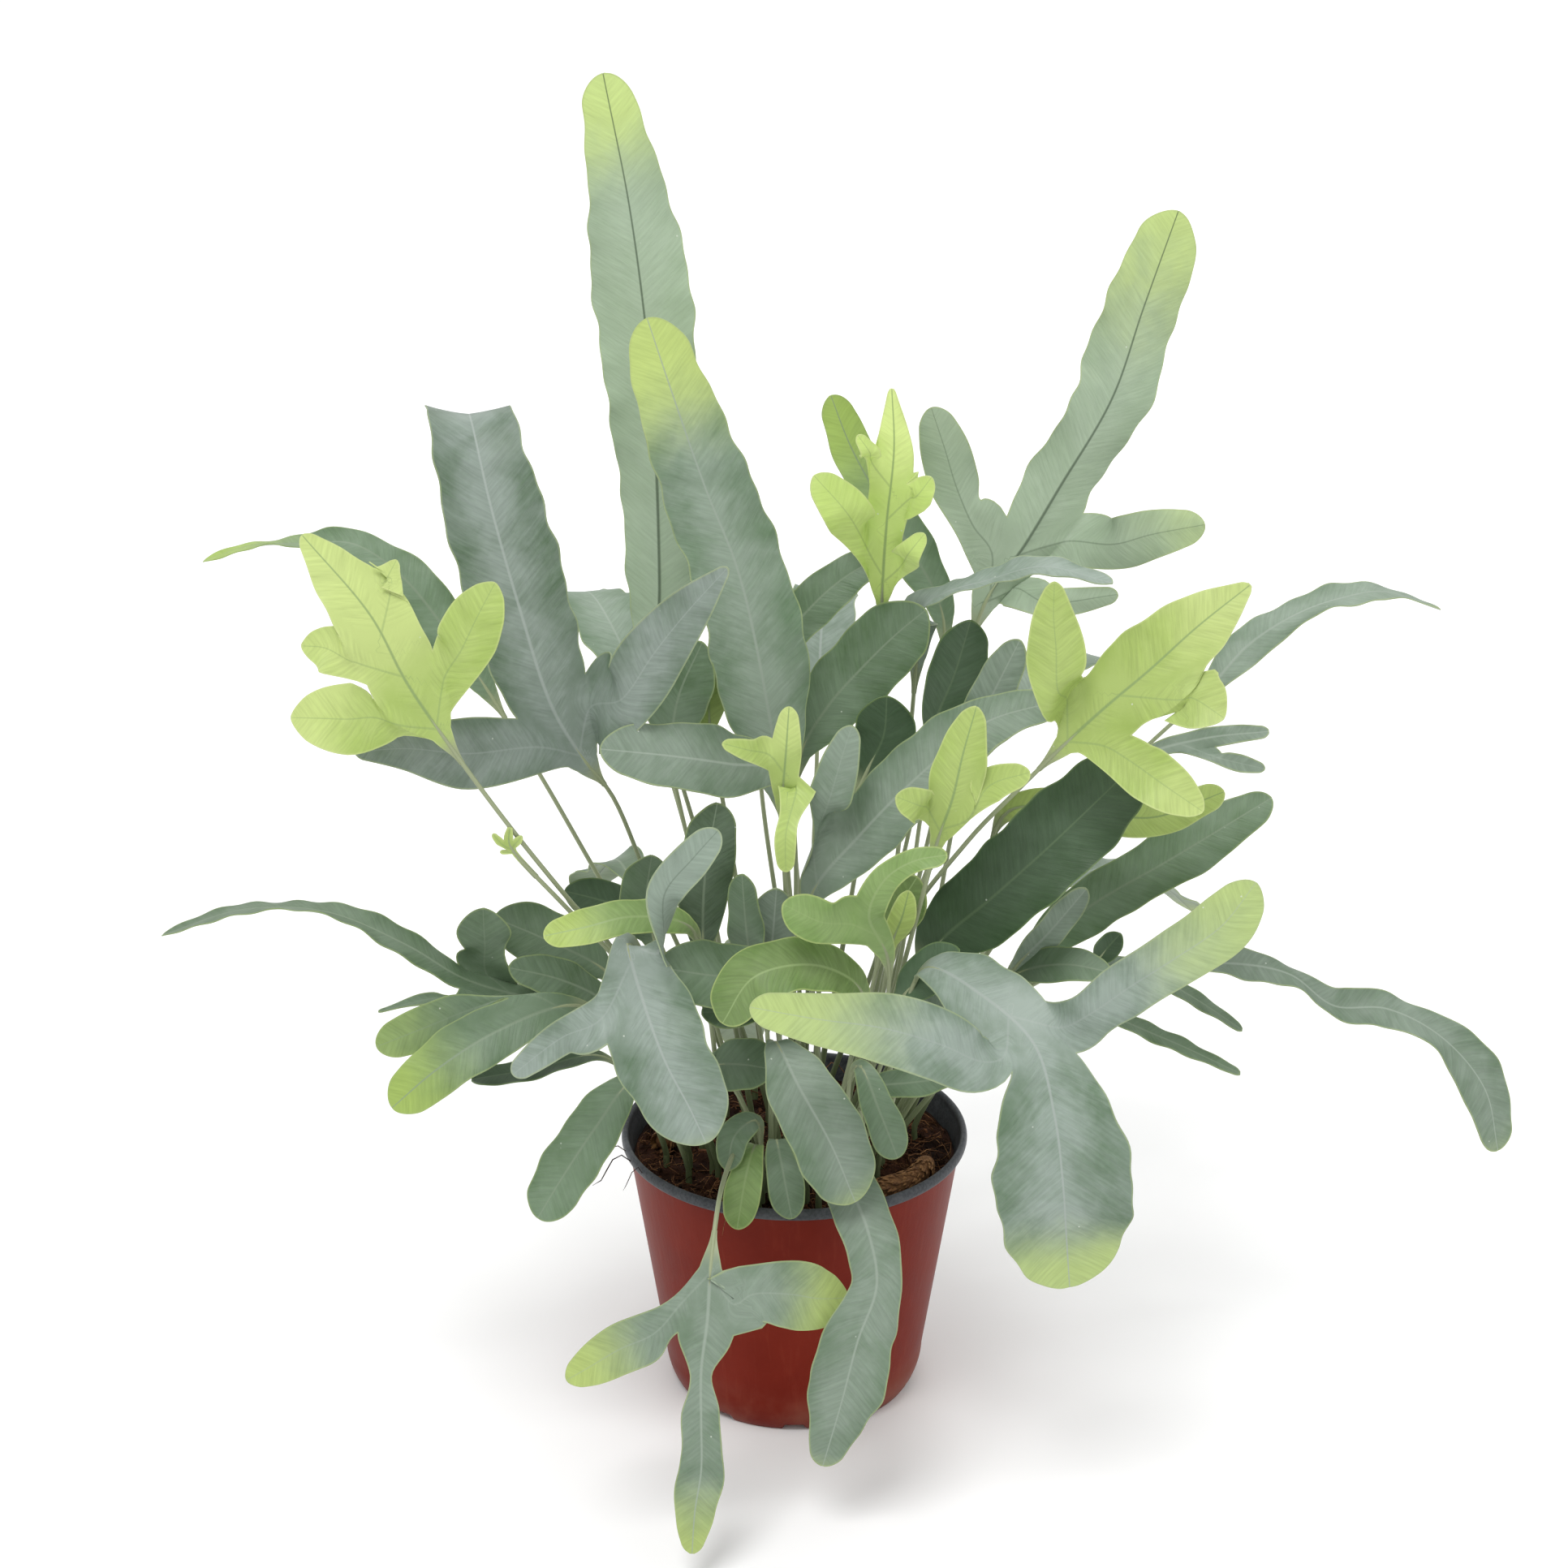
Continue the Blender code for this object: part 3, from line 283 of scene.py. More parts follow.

# fresh: green of the blade; bloom: its waxy cast; under: lower side, its own paler green, which on the grey
# fronds is also painted light for undersides turned from the sun; young: new growth, its own lime brightened
# as painted glow; rib: line of the midrib; edge: thin pale margin
leafTones = {
    "blue": {
        "fresh": (0.088, 0.148, 0.082), "bloom": (0.255, 0.312, 0.270), "under": (0.225, 0.290, 0.225),
        "young": (0.370, 0.470, 0.170), "rib": (0.330, 0.375, 0.345), "edge": (0.360, 0.430, 0.200),
    },
    "grey": {
        "fresh": (0.090, 0.155, 0.080), "bloom": (0.215, 0.276, 0.214), "under": (0.300, 0.375, 0.262),
        "young": (0.390, 0.490, 0.150), "rib": (0.290, 0.345, 0.285), "edge": (0.360, 0.430, 0.170),
    },
    "green": {
        "fresh": (0.062, 0.120, 0.042), "bloom": (0.146, 0.212, 0.134), "under": (0.200, 0.280, 0.150),
        "young": (0.290, 0.400, 0.095), "rib": (0.210, 0.270, 0.185), "edge": (0.310, 0.390, 0.140),
    },
    # dark: a deep green, partly the fronds' own and partly painted shade for fronds set deep in the plant
    "dark": {
        "fresh": (0.030, 0.068, 0.022), "bloom": (0.066, 0.112, 0.060), "under": (0.120, 0.175, 0.100),
        "young": (0.160, 0.270, 0.055), "rib": (0.100, 0.155, 0.080), "edge": (0.190, 0.280, 0.090),
    },
    "spring": {
        "fresh": (0.125, 0.240, 0.040), "bloom": (0.230, 0.340, 0.120), "under": (0.270, 0.360, 0.150),
        "young": (0.390, 0.510, 0.130), "rib": (0.280, 0.380, 0.160), "edge": (0.470, 0.550, 0.200),
    },
    # lime: the new fronds' own lime, brightened as painted glow for light shining through them
    "lime": {
        "fresh": (0.300, 0.420, 0.085), "bloom": (0.380, 0.490, 0.145), "under": (0.370, 0.465, 0.160),
        "young": (0.475, 0.575, 0.200), "rib": (0.200, 0.290, 0.115), "edge": (0.530, 0.600, 0.250),
    },
}
stalkColours = ((0.120, 0.150, 0.070), (0.300, 0.340, 0.200))  # near the substrate, near the blade


def leafMaterial(tone):
    colours = leafTones[tone]
    material, tree, shader = newMaterial("leaf" + tone.capitalize(), 0.5, 0.35)
    place = attribute(tree, "leafPlace", "Vector")
    young, toEdge, under = parts(tree, attribute(tree, "leafTone", "Vector"))
    ribHalf, stalk, toneAndPaintedLight = parts(tree, attribute(tree, "leafStem", "Vector"))
    fromRib = parts(tree, place)["Y"]
    veins = addNode(tree, "ShaderNodeGroup", node_tree=veinGroup)
    tree.links.new(place, veins.inputs["Place"])
    veins.inputs["Slant"].default_value = 0.75
    veins.inputs["Fine Scale"].default_value = 820.0
    fine, streak, cloud, height = (veins.outputs[key] for key in ("Fine", "Streak", "Cloud", "Height"))

    # waxy bloom: strongest beside the midrib, broken by streaks and clouds
    nearRib = mapRange(tree, fromRib, 0.0, 0.015, 0.92, 0.36)
    cloudy = maths(tree, "ADD", nearRib, centred(tree, cloud, 1.7))
    bloom = maths(tree, "ADD", cloudy, centred(tree, streak, 0.75), clamp=True)
    colour = mixColour(tree, bloom, colours["fresh"], colours["bloom"])
    # new growth: its own lime, made brighter and more saturated as painted glow for light through the thin
    # blade
    youngMask = mapRange(tree, maths(tree, "ADD", young, centred(tree, cloud, 0.5)), 0.12, 0.95)
    colour = mixColour(tree, youngMask, colour, colours["young"])
    # under side: its own paler green, raised on the grey fronds as painted light where it faces away from the
    # sun
    underMask = mapRange(tree, under, 0.4, 0.6)
    underShare = times(tree, underMask, maths(tree, "SUBTRACT", 1.0, times(tree, youngMask, 0.75)))
    colour = mixColour(tree, times(tree, underShare, 0.6), colour, colours["under"])
    # the colour is made darker or lighter by the veins' tone and by the frond's brightness factor, which
    # holds painted light and shade as well as its own tone
    tint = maths(tree, "ADD", centred(tree, fine, 0.50), toneAndPaintedLight)
    tintColour = addNode(tree, "ShaderNodeCombineColor", {0: tint, 1: tint, 2: tint}).outputs[0]
    colour = mixColour(tree, 1.0, colour, tintColour, "MULTIPLY")

    # midrib: a pale line above, a thin dark one below; margin: a hair of yellow
    lines = parts(tree, attribute(tree, "leafLines", "Vector"))
    main, first, second = (maths(tree, "ABSOLUTE", one) for one in lines)
    thin = maths(tree, "MAXIMUM", ribHalf, 0.00012)
    branch = maths(tree, "MINIMUM", first, second)
    mainLine = mapRange(tree, maths(tree, "DIVIDE", main, thin), 1.4, 0.3)
    branchLine = mapRange(tree, maths(tree, "DIVIDE", branch, thin), 1.4, 0.3, 0.0, 0.5)
    line = maths(tree, "MAXIMUM", mainLine, branchLine)
    ribShade = mixColour(tree, underMask, colours["rib"], tuple(0.45 * part for part in colours["fresh"]))
    colour = mixColour(tree, times(tree, line, 0.75), colour, ribShade)
    edgeLine = mapRange(tree, toEdge, 0.0007, 0.0002)
    colour = mixColour(tree, times(tree, edgeLine, 0.45), colour, colours["edge"])
    dots = addNode(tree, "ShaderNodeGroup", node_tree=specks)
    dots.inputs["Density"].default_value = 0.05
    colour = mixColour(tree, times(tree, dots.outputs["Speck"], 0.7), colour, (0.62, 0.66, 0.58))
    stemColour = mixColour(tree, mapRange(tree, stalk, 0.55, 1.0), stalkColours[1], stalkColours[0])
    colour = mixColour(tree, mapRange(tree, stalk, 0.0, 0.35), colour, stemColour)
    tree.links.new(colour, shader.inputs["Base Color"])

    tree.links.new(maths(tree, "ADD", times(tree, streak, 0.20), 0.36), shader.inputs["Roughness"])
    addRelief(tree, shader, height, 0.35, 0.00035)
    return material


leafMaterials = {tone: leafMaterial(tone) for tone in leafTones}
print("leaf finishes made:", len(leafMaterials))

setOutRim = 60.0  # the frond points below were set out round a rim of this radius
setOutSoil = 92.0  # and over a substrate at this height
front, back, up, frontUp = (0, -9, 4), (0, 9, -3), (0, -1, 9), (0, -7, 7)

# foot: where the stalk leaves the substrate; stalk and rib: points of the stalk and of the midrib,
# base to tip; half: half widths at even steps along the rib; face: way the upper side looks, at even steps;
# wave: height and number of the margin's waves; lobes: side, shares of the rib where it starts and ends,
# rib points, half widths, face; tone: its colours; shade: how light they are, the frond's own tone with
# painted light and shade on top (darker for fronds deep in the plant, lighter for those turned from the
# light); cup: how far it folds up, as a share of the usual; young: shares of the rib between which the blade
# turns to new growth;
# lobeYoung: how young each lobe's tip is
fronds = {
    "tall_back": {
        "tone": "grey", "young": (0.7, 1), "toneAndPaintedLight": 1.35,
        "foot": (-9, 16), "stalk": [(-22, 20, 140), (-38, 23, 205)],
        "rib": [(-46, 24, 253), (-45, 27, 290), (-47, 33, 354), (-53, 37, 410), (-61, 35, 456)],
        "half": [5, 11, 13, 15, 16, 12, 7], "face": [(3, 9, -2), (-2, 9, -1)], "wave": (2.5, 3),
    },
    "tall_centre": {
        "tone": "grey", "young": (0.6, 1), "toneAndPaintedLight": 1.12,
        "foot": (2, 0), "stalk": [(3, -4, 130), (-1, -8, 185)],
        "rib": [(-5, -8, 228), (-8, -8, 252), (-18, -5, 302), (-29, -2, 331), (-39, 2, 360), (-47, 6, 384)],
        "half": [5, 15, 16, 15, 13, 8], "face": [(4, -9, 3), (1, -9, 3)], "wave": (2, 3),
    },
    "tall_curled": {
        "tone": "blue", "toneAndPaintedLight": 0.9, "cup": 2.4,
        "foot": (-16, 4), "stalk": [(-32, -2, 150), (-49, -7, 196), (-60, -16, 230)],
        "rib": [(-68, -22, 244), (-78, -24, 263), (-88, -22, 297), (-97, -12, 328), (-104, 6, 351),
                (-107, 28, 343), (-109, 42, 322)],
        "half": [5, 14, 16, 16, 14, 13, 10],
        "face": [(3, -9, 4), (3, -9, 3), (1, -8, 5), (0, 6, 7)], "wave": (2, 2),
        "lobes": [
            (1, 0.02, 0.17, [(-55, -36, 271), (-45, -40, 287), (-35, -43, 301), (-21, -46, 318)],
             [10.5, 11, 9.5, 6.5, 1.5], front),
            (-1, 0.02, 0.15, [(-104, -48, 257), (-122, -54, 261), (-138, -57, 261)], [12.5, 11, 7, 2], front),
        ],
    },
    "bright_left": {
        "tone": "lime", "young": (0, 0.6), "lobeYoung": [0.0, 1, 0.6, 0.6],
        "foot": (-28, -20), "stalk": [(-58, -38, 182), (-73, -48, 207), (-92, -58, 239)],
        "rib": [(-110, -62, 269), (-120, -64, 287), (-130, -63, 308), (-151, -54, 331)],
        "half": [4, 10, 11.5, 12, 11, 7, 2], "face": [(3, -9, 4)], "wave": (1, 2),
        "lobes": [
            (1, 0.05, 0.33, [(-103, -61, 296), (-98, -60, 306), (-92, -58, 317)], [9.5, 9.5, 8, 3], front),
            (-1, 0.03, 0.28, [(-129, -69, 277), (-137, -73, 278), (-145, -75, 279), (-154, -77, 280)],
             [11, 11, 9, 4], front),
            (-1, 0.34, 0.58, [(-144, -67, 299), (-151, -68, 300)], [7.5, 2.5], front),
            (1, 0.54, 0.74, [(-125, -59, 318), (-122, -57, 324)], [4, 1], front),
        ],
    },
    "ribbon_far_left": {
        "tone": "green", "young": (0.55, 1), "toneAndPaintedLight": 1.15,
        "foot": (-24, 22), "stalk": [(-46, 26, 140), (-72, 36, 186), (-88, 46, 212)],
        "rib": [(-107, 58, 240), (-120, 64, 258), (-136, 70, 277), (-153, 76, 287), (-171, 80, 286),
                (-190, 84, 284), (-208, 88, 277)],
        "half": [4, 8, 9, 8, 7, 5, 3], "face": [(0, -8, 6), (0, -6, 8), up, (0, 0, 9)], "wave": (1.5, 3),
    },
    "leaf_mid_left": {
        "tone": "grey",
        "foot": (-3, -12), "stalk": [(-1, -16, 150), (0, -19, 215)],
        "rib": [(-4, -24, 241), (-21, -34, 248), (-39, -40, 253), (-62, -44, 257)],
        "half": [4, 10, 11.5, 10, 6], "face": [(1, -8, 6)], "wave": (1, 2),
    },
    "bright_twist": {
        "tone": "lime", "young": (0.2, 1),
        "foot": (4, -22), "stalk": [(1, -33, 150), (-3, -40, 205)],
        "rib": [(-4, -43, 240), (-3, -45, 256), (-2, -43, 271)],
        "half": [3, 5, 4.5, 2.5], "face": [front], "wave": (0.5, 1),
        "lobes": [
            (-1, 0.32, 0.66, [(-15, -50, 259), (-23, -52, 262)], [4, 3, 1.5], front),
            (1, 0.02, 0.28, [(-3, -56, 233), (-3, -59, 221)], [3, 3.5, 2.5], front),
        ],
    },
    "broad_centre_right": {
        "tone": "grey",
        "foot": (9, -14), "stalk": [(8, -26, 135), (5, -34, 175)],
        "rib": [(5, -38, 203), (21, -40, 226), (39, -38, 245), (60, -32, 261), (84, -22, 265)],
        "half": [4, 10, 11.5, 11, 8, 5], "face": [(-2, -9, 4), (-3, -8, 5)], "wave": (1.5, 2),
        "lobes": [
            (-1, 0.04, 0.26, [(11, -46, 241), (15, -46, 256), (18, -44, 265)], [7, 7, 6, 3], front),
        ],
    },
    "dark_centre": {
        "tone": "green",
        "foot": (10, 8), "stalk": [(6, 8, 150), (0, 6, 205)],
        "rib": [(2, 8, 235), (11, 11, 251), (22, 12, 264), (33, 11, 276), (43, 8, 286)],
        "half": [4, 10, 12, 12, 8], "face": [(-1, -9, 3)], "wave": (1, 1),
    },
    "arching_strap": {
        "tone": "blue", "toneAndPaintedLight": 1.1,
        "foot": (16, 12), "stalk": [(30, 20, 150), (38, 26, 220)],
        "rib": [(41, 26, 262), (42, 22, 281), (50, 14, 290), (63, 8, 296), (80, 1, 303), (102, -10, 301)],
        "half": [3, 7, 8, 8, 7, 4], "face": [(0, -9, 2), (0, -3, 9), up, up], "wave": (1, 2),
    },
    "tall_right": {
        "tone": "grey", "young": (0.35, 1.15), "lobeYoung": [0.25, 0.6, 0.2], "toneAndPaintedLight": 1.22,
        "foot": (22, 18), "stalk": [(36, 26, 150), (52, 36, 220)],
        "rib": [(64, 42, 276), (78, 48, 296), (90, 54, 315), (107, 62, 343), (117, 69, 372), (128, 74, 404)],
        "half": [5, 10.5, 12, 13, 13.5, 13, 8], "face": [(-4, 9, -2), (-2, 9, -3)], "wave": (3, 3),
        "lobes": [
            (1, 0.03, 0.20, [(60, 42, 304), (54, 41, 318), (50, 40, 331), (45, 39, 346)],
             [7.5, 8.5, 8, 4.5], back),
            (-1, 0.15, 0.30, [(107, 38, 299), (119, 33, 304), (136, 28, 309)], [9.5, 9, 7.5, 4.5], back),
            (-1, 0.02, 0.12, [(85, 33, 280), (108, 27, 285)], [5, 4.5, 2.5], back),
        ],
    },
    "bright_top": {
        "tone": "lime", "young": (0.2, 1), "toneAndPaintedLight": 1.35,
        "foot": (8, 24), "stalk": [(16, 27, 150), (27, 30, 225), (30, 28, 262)],
        "rib": [(29, 21, 285), (30, 15, 313), (32, 11, 340), (31, 10, 360)],
        "half": [2.5, 5.5, 6, 7, 7, 4.5, 1], "face": [(-2, -9, 3)], "wave": (0.5, 2),
        "lobes": [
            (-1, 0.10, 0.40, [(17, 4, 320), (6, 0, 334)], [8.5, 7.5, 4], front),
            (-1, 0.56, 0.78, [(24, 6, 340), (20, 5, 346)], [3.5, 1.5], front),
            (1, 0.42, 0.64, [(39, 6, 325), (44, 5, 332)], [5, 2.5], front),
            (1, 0.08, 0.30, [(37, 6, 306), (42, 5, 313)], [5, 2], front),
        ],
    },
    "back_upper": {
        "tone": "green", "young": (0.2, 1.1), "toneAndPaintedLight": 1.2,
        "foot": (12, 32), "stalk": [(30, 38, 150), (46, 46, 225)],
        "rib": [(51, 50, 268), (42, 52, 289), (30, 53, 308), (19, 54, 328), (12, 54, 346)],
        "half": [4, 8, 8, 7.5, 5], "face": [(3, -9, 3)], "wave": (1, 2),
    },
    "back_band": {
        "tone": "green",
        "foot": (2, 34), "stalk": [(-4, 40, 150), (-12, 46, 215)],
        "rib": [(-11, 50, 250), (5, 56, 270), (17, 60, 280), (32, 63, 288)],
        "half": [4, 7, 8, 7, 4], "face": [(0, -8, 5)], "wave": (1, 1),
    },
    "bright_right": {
        "tone": "lime", "young": (0.3, 1), "lobeYoung": [0.2, 0.6, 0.7],
        "foot": (24, -12), "stalk": [(32, -29, 180), (55, -46, 226), (70, -52, 246)],
        "rib": [(84, -56, 263), (96, -60, 277), (109, -62, 290), (123, -62, 304), (139, -60, 317)],
        "half": [4, 10, 12.5, 14, 11.5, 8, 1.5], "face": [(-2, -9, 5)], "wave": (1, 2),
        "lobes": [
            (-1, 0.03, 0.26, [(81, -62, 283), (80, -62, 297), (79, -61, 307), (79, -60, 318)],
             [9, 9.5, 8.5, 6, 2], front),
            (1, 0.38, 0.64, [(121, -70, 284), (131, -75, 279)], [9, 4.5], front),
            (1, 0.03, 0.26, [(103, -69, 263), (113, -77, 258), (125, -82, 251)], [8.5, 8.5, 7, 2.5], front),
        ],
    },
    "bright_behind_right": {
        "tone": "lime",
        "foot": (31, -2), "stalk": [(50, -10, 150), (62, -16, 200)],
        "rib": [(70, -20, 226), (93, -24, 228), (116, -28, 227), (139, -28, 236)],
        "half": [4, 7, 7, 6, 4], "face": [(0, -9, 5)], "wave": (1, 2),
    },
    "bright_small": {
        "tone": "lime",
        "foot": (16, -20), "stalk": [(28, -40, 150), (38, -55, 200)],
        "rib": [(45, -62, 234), (49, -64, 248), (52, -64, 263), (56, -62, 278)],
        "half": [3, 7, 8.5, 7, 3], "face": [(-2, -9, 4)], "wave": (0.5, 1),
        "lobes": [
            (-1, 0.06, 0.32, [(38, -69, 248), (31, -72, 252)], [6, 5, 3.5], front),
            (1, 0.10, 0.36, [(60, -66, 253), (73, -64, 257)], [6, 5, 3], front),
        ],
    },
    "dark_right": {
        "tone": "dark", "young": (0.85, 1.3), "toneAndPaintedLight": 0.95,
        "foot": (22, -20), "stalk": [(30, -30, 130), (37, -35, 160)],
        "rib": [(45, -38, 184), (64, -46, 207), (80, -48, 224), (96, -46, 240), (109, -42, 252)],
        "half": [9, 13.5, 14.5, 14, 10], "face": [(-3, -8, 5), (-1, -9, 5)], "wave": (1.5, 2),
    },
    "grey_right": {
        "tone": "green", "toneAndPaintedLight": 1.12,
        "foot": (34, -8), "stalk": [(52, -10, 125), (66, -12, 150)],
        "rib": [(79, -12, 170), (98, -14, 189), (124, -12, 205), (158, -6, 225)],
        "half": [4, 9, 9.5, 9, 5], "face": [(-2, -8, 6)], "wave": (2, 2),
    },
    "rolled_right": {
        "tone": "grey",
        "foot": (30, -16), "stalk": [(48, -23, 135), (64, -28, 160)],
        "rib": [(74, -30, 176), (83, -33, 188), (95, -33, 204)],
        "half": [3, 5, 5, 3], "face": [(3, -8, 4)], "wave": (0.5, 1),
    },
    "small_far_right": {
        "tone": "grey",
        "foot": (27, 10), "stalk": [(60, 11, 150), (92, 9, 205)],
        "rib": [(114, 8, 233), (136, 12, 239), (159, 14, 241)],
        "half": [2, 3, 3.5, 2], "face": [(0, -8, 5)], "wave": (0.5, 1),
        "lobes": [(1, 0.30, 0.60, [(141, 5, 235), (157, 5, 231)], [3, 3, 1.5], front)],
    },
    "ribbon_far_right": {
        "tone": "grey", "young": (0.8, 1.3), "toneAndPaintedLight": 1.05,
        "foot": (27, 22), "stalk": [(60, 28, 150), (108, 32, 215)],
        "rib": [(140, 34, 248), (155, 40, 263), (172, 46, 272), (187, 50, 276), (202, 54, 277),
                (222, 56, 270)],
        "half": [3, 7, 8.5, 8, 6, 3], "face": [(0, -6, 7), up, (0, 0, 9)], "wave": (1.5, 2),
    },
    "wavy_far_right": {
        "tone": "grey", "young": (0.85, 1.2), "toneAndPaintedLight": 0.9,
        "foot": (38, 2), "stalk": [(54, -3, 135), (70, -5, 152)],
        "rib": [(90, -4, 160), (117, 2, 159), (150, 6, 159), (170, 8, 154), (186, 8, 142), (204, 8, 141),
                (224, 8, 130), (240, 6, 111), (246, 4, 88)],
        "half": [3, 5, 5, 5.5, 6, 6.5, 8, 9, 6], "face": [(0, -4, 9), (0, -4, 9), (0, -5, 8), (2, -7, 6)],
        "wave": (3, 4),
    },
    "lobed_front_right": {
        "tone": "blue", "young": (0.7, 1), "lobeYoung": [0.9, 0.85], "toneAndPaintedLight": 1.06, "cup": 1.4,
        "foot": (20, -28), "stalk": [(30, -47, 140), (36, -58, 175)],
        "rib": [(42, -68, 192), (58, -84, 190), (74, -99, 180), (80, -110, 161), (83, -114, 139),
                (85, -111, 118), (87, -106, 98)],
        "half": [6, 11, 12, 10, 17, 21, 21, 17, 9],
        "face": [(0, -4, 9), (0, -7, 6), (0, -9, 2), (1, -9, 1)], "wave": (2, 2),
        "lobes": [
            (1, 0.28, 0.40, [(58, -107, 178), (44, -113, 187), (26, -118, 195), (6, -120, 199),
                             (-14, -118, 202)], [9, 11, 11, 9, 7, 4.5], front),
            (-1, 0.29, 0.40, [(90, -101, 191), (102, -106, 203), (115, -109, 214), (129, -107, 224),
                              (139, -104, 237)], [6, 8, 8.5, 9, 9, 5], front),
        ],
    },
    "grey_front_left": {
        "tone": "blue", "young": (0.85, 1.2), "toneAndPaintedLight": 1,
        "foot": (-20, -30), "stalk": [(-31, -46, 140), (-46, -60, 185)],
        "rib": [(-53, -70, 201), (-48, -80, 186), (-41, -90, 170), (-33, -96, 156), (-28, -98, 145)],
        "half": [5, 14, 15, 14, 10], "face": [(2, -8, 6), (-2, -9, 4)], "wave": (1.5, 2),
        "lobes": [
            (-1, 0.02, 0.16, [(-41, -74, 220), (-32, -74, 232), (-24, -70, 240)], [5, 6, 6, 4], front),
            (1, 0.18, 0.42, [(-74, -80, 173), (-90, -78, 159)], [6, 5, 3], front),
        ],
    },
    "green_lower_left": {
        "tone": "green", "young": (0.25, 1.1), "lobeYoung": [0.6], "toneAndPaintedLight": 1,
        "foot": (-36, -16), "stalk": [(-48, -32, 140), (-60, -42, 162)],
        "rib": [(-74, -50, 170), (-97, -62, 166), (-115, -68, 156), (-130, -70, 143)],
        "half": [4, 8, 9.5, 9, 6], "face": [(0, -8, 6)], "wave": (1, 2),
        "lobes": [
            (1, 0.06, 0.26, [(-105, -53, 170), (-120, -54, 164), (-136, -56, 158)], [6, 7, 7, 5], front),
        ],
    },
    "thin_far_left": {
        "tone": "green",
        "foot": (-38, -4), "stalk": [(-52, -14, 130), (-64, -22, 150)],
        "rib": [(-76, -26, 159), (-91, -30, 164), (-109, -34, 172), (-127, -36, 185), (-153, -36, 197),
                (-180, -34, 197), (-208, -30, 186)],
        "half": [3, 5, 6, 7, 8, 7, 3],
        "face": [(0, -6, 7), (0, -2, 9), (0, 1, 9), (0, 1, 9)], "wave": (1.5, 2),
        "lobes": [
            (1, 0.12, 0.27, [(-102, -31, 184), (-102, -33, 197)], [6, 9, 7], front),
            (-1, 0.14, 0.26, [(-120, -39, 167), (-137, -40, 163)], [3, 3, 1], up),
        ],
    },
    "leaf_left": {
        "tone": "green", "toneAndPaintedLight": 1,
        "foot": (-34, 8), "stalk": [(-46, -2, 130), (-56, -10, 152)],
        "rib": [(-64, -14, 166), (-81, -18, 178), (-100, -18, 187)],
        "half": [4, 10, 10, 7], "face": [(2, -8, 6)], "wave": (1, 1),
    },
    "bright_left_small": {
        "tone": "spring", "young": (0.3, 1), "toneAndPaintedLight": 0.9,
        "foot": (-23, -26), "stalk": [(-26, -36, 140), (-30, -44, 180)],
        "rib": [(-34, -50, 198), (-52, -60, 206), (-67, -64, 204), (-80, -64, 201)],
        "half": [3, 6, 6, 6, 4], "face": [frontUp], "wave": (0.5, 1),
    },
    "upright_centre": {
        "tone": "green", "toneAndPaintedLight": 0.72,
        "foot": (-12, -18), "stalk": [(-20, -28, 130), (-28, -36, 165)],
        "rib": [(-30, -39, 187), (-29, -42, 214), (-25, -40, 237)],
        "half": [4, 9, 9.5, 6], "face": [(4, -9, 3)], "wave": (1, 1),
    },
    "upright_small": {
        "tone": "green",
        "foot": (-4, -26), "stalk": [(-8, -35, 130), (-12, -41, 160)],
        "rib": [(-14, -44, 178), (-16, -49, 200), (-17, -49, 216)],
        "half": [3, 6, 6, 4], "face": [(-4, -9, 3)], "wave": (0.5, 1),
    },
    "leaf_centre_front": {
        "tone": "green",
        "foot": (-9, -34), "stalk": [(-6, -44, 130), (-5, -50, 165)],
        "rib": [(-6, -55, 183), (-24, -64, 187), (-44, -68, 192)],
        "half": [6, 11, 11, 7], "face": [frontUp], "wave": (1, 1),
    },
    "bright_curved": {
        "tone": "spring", "toneAndPaintedLight": 0.74,
        "foot": (8, -32), "stalk": [(15, -48, 135), (20, -58, 165)],
        "rib": [(21, -64, 182), (5, -77, 197), (-13, -84, 196), (-23, -84, 180)],
        "half": [4, 8, 9, 9, 6], "face": [(0, -6, 7), (0, -8, 5)], "wave": (1, 1),
    },
    "front_hanging": {
        "tone": "grey", "young": (0.7, 1.3), "toneAndPaintedLight": 0.96,
        "foot": (4, -40), "stalk": [(-1, -55, 135), (-6, -66, 160)],
        "rib": [(-6, -75, 169), (1, -88, 160), (11, -96, 144), (19, -96, 123)],
        "half": [4, 10, 12, 12, 8], "face": [(1, -6, 8), (2, -9, 4)], "wave": (1.5, 1),
    },
    "front_hanging_small": {
        "tone": "green",
        "foot": (14, -40), "stalk": [(17, -54, 130), (18, -62, 150)],
        "rib": [(21, -68, 157), (27, -76, 145), (33, -78, 129)],
        "half": [3, 5, 6, 5], "face": [frontUp, (1, -9, 3)], "wave": (0.5, 1),
    },
    "rim_leaf_bright": {
        "tone": "spring",
        "foot": (-12, -44), "stalk": [(-11, -47, 112)],
        "rib": [(-13, -54, 121), (-16, -66, 116), (-19, -71, 99)],
        "half": [3, 5, 6, 4], "face": [up, (0, -9, 3)], "wave": (0.5, 1),
    },
    "rim_leaf": {
        "tone": "green",
        "foot": (-4, -46), "stalk": [(-5, -49, 114)],
        "rib": [(-6, -56, 124), (-4, -68, 119), (-1, -73, 104)],
        "half": [3, 5, 6, 4], "face": [up, (0, -9, 3)], "wave": (0.5, 1),
    },
    "left_hanging": {
        "tone": "green", "toneAndPaintedLight": 1.12,
        "foot": (-36, -26), "stalk": [(-42, -36, 120), (-48, -45, 137)],
        "rib": [(-54, -52, 143), (-65, -58, 130), (-76, -60, 113), (-85, -60, 97)],
        "half": [4, 9, 9.5, 9, 6], "face": [(-2, -7, 6), (-3, -9, 3)], "wave": (1, 1),
    },
    "dark_low_left": {
        "tone": "dark",
        "foot": (-44, -14), "stalk": [(-50, -24, 120), (-56, -33, 137)],
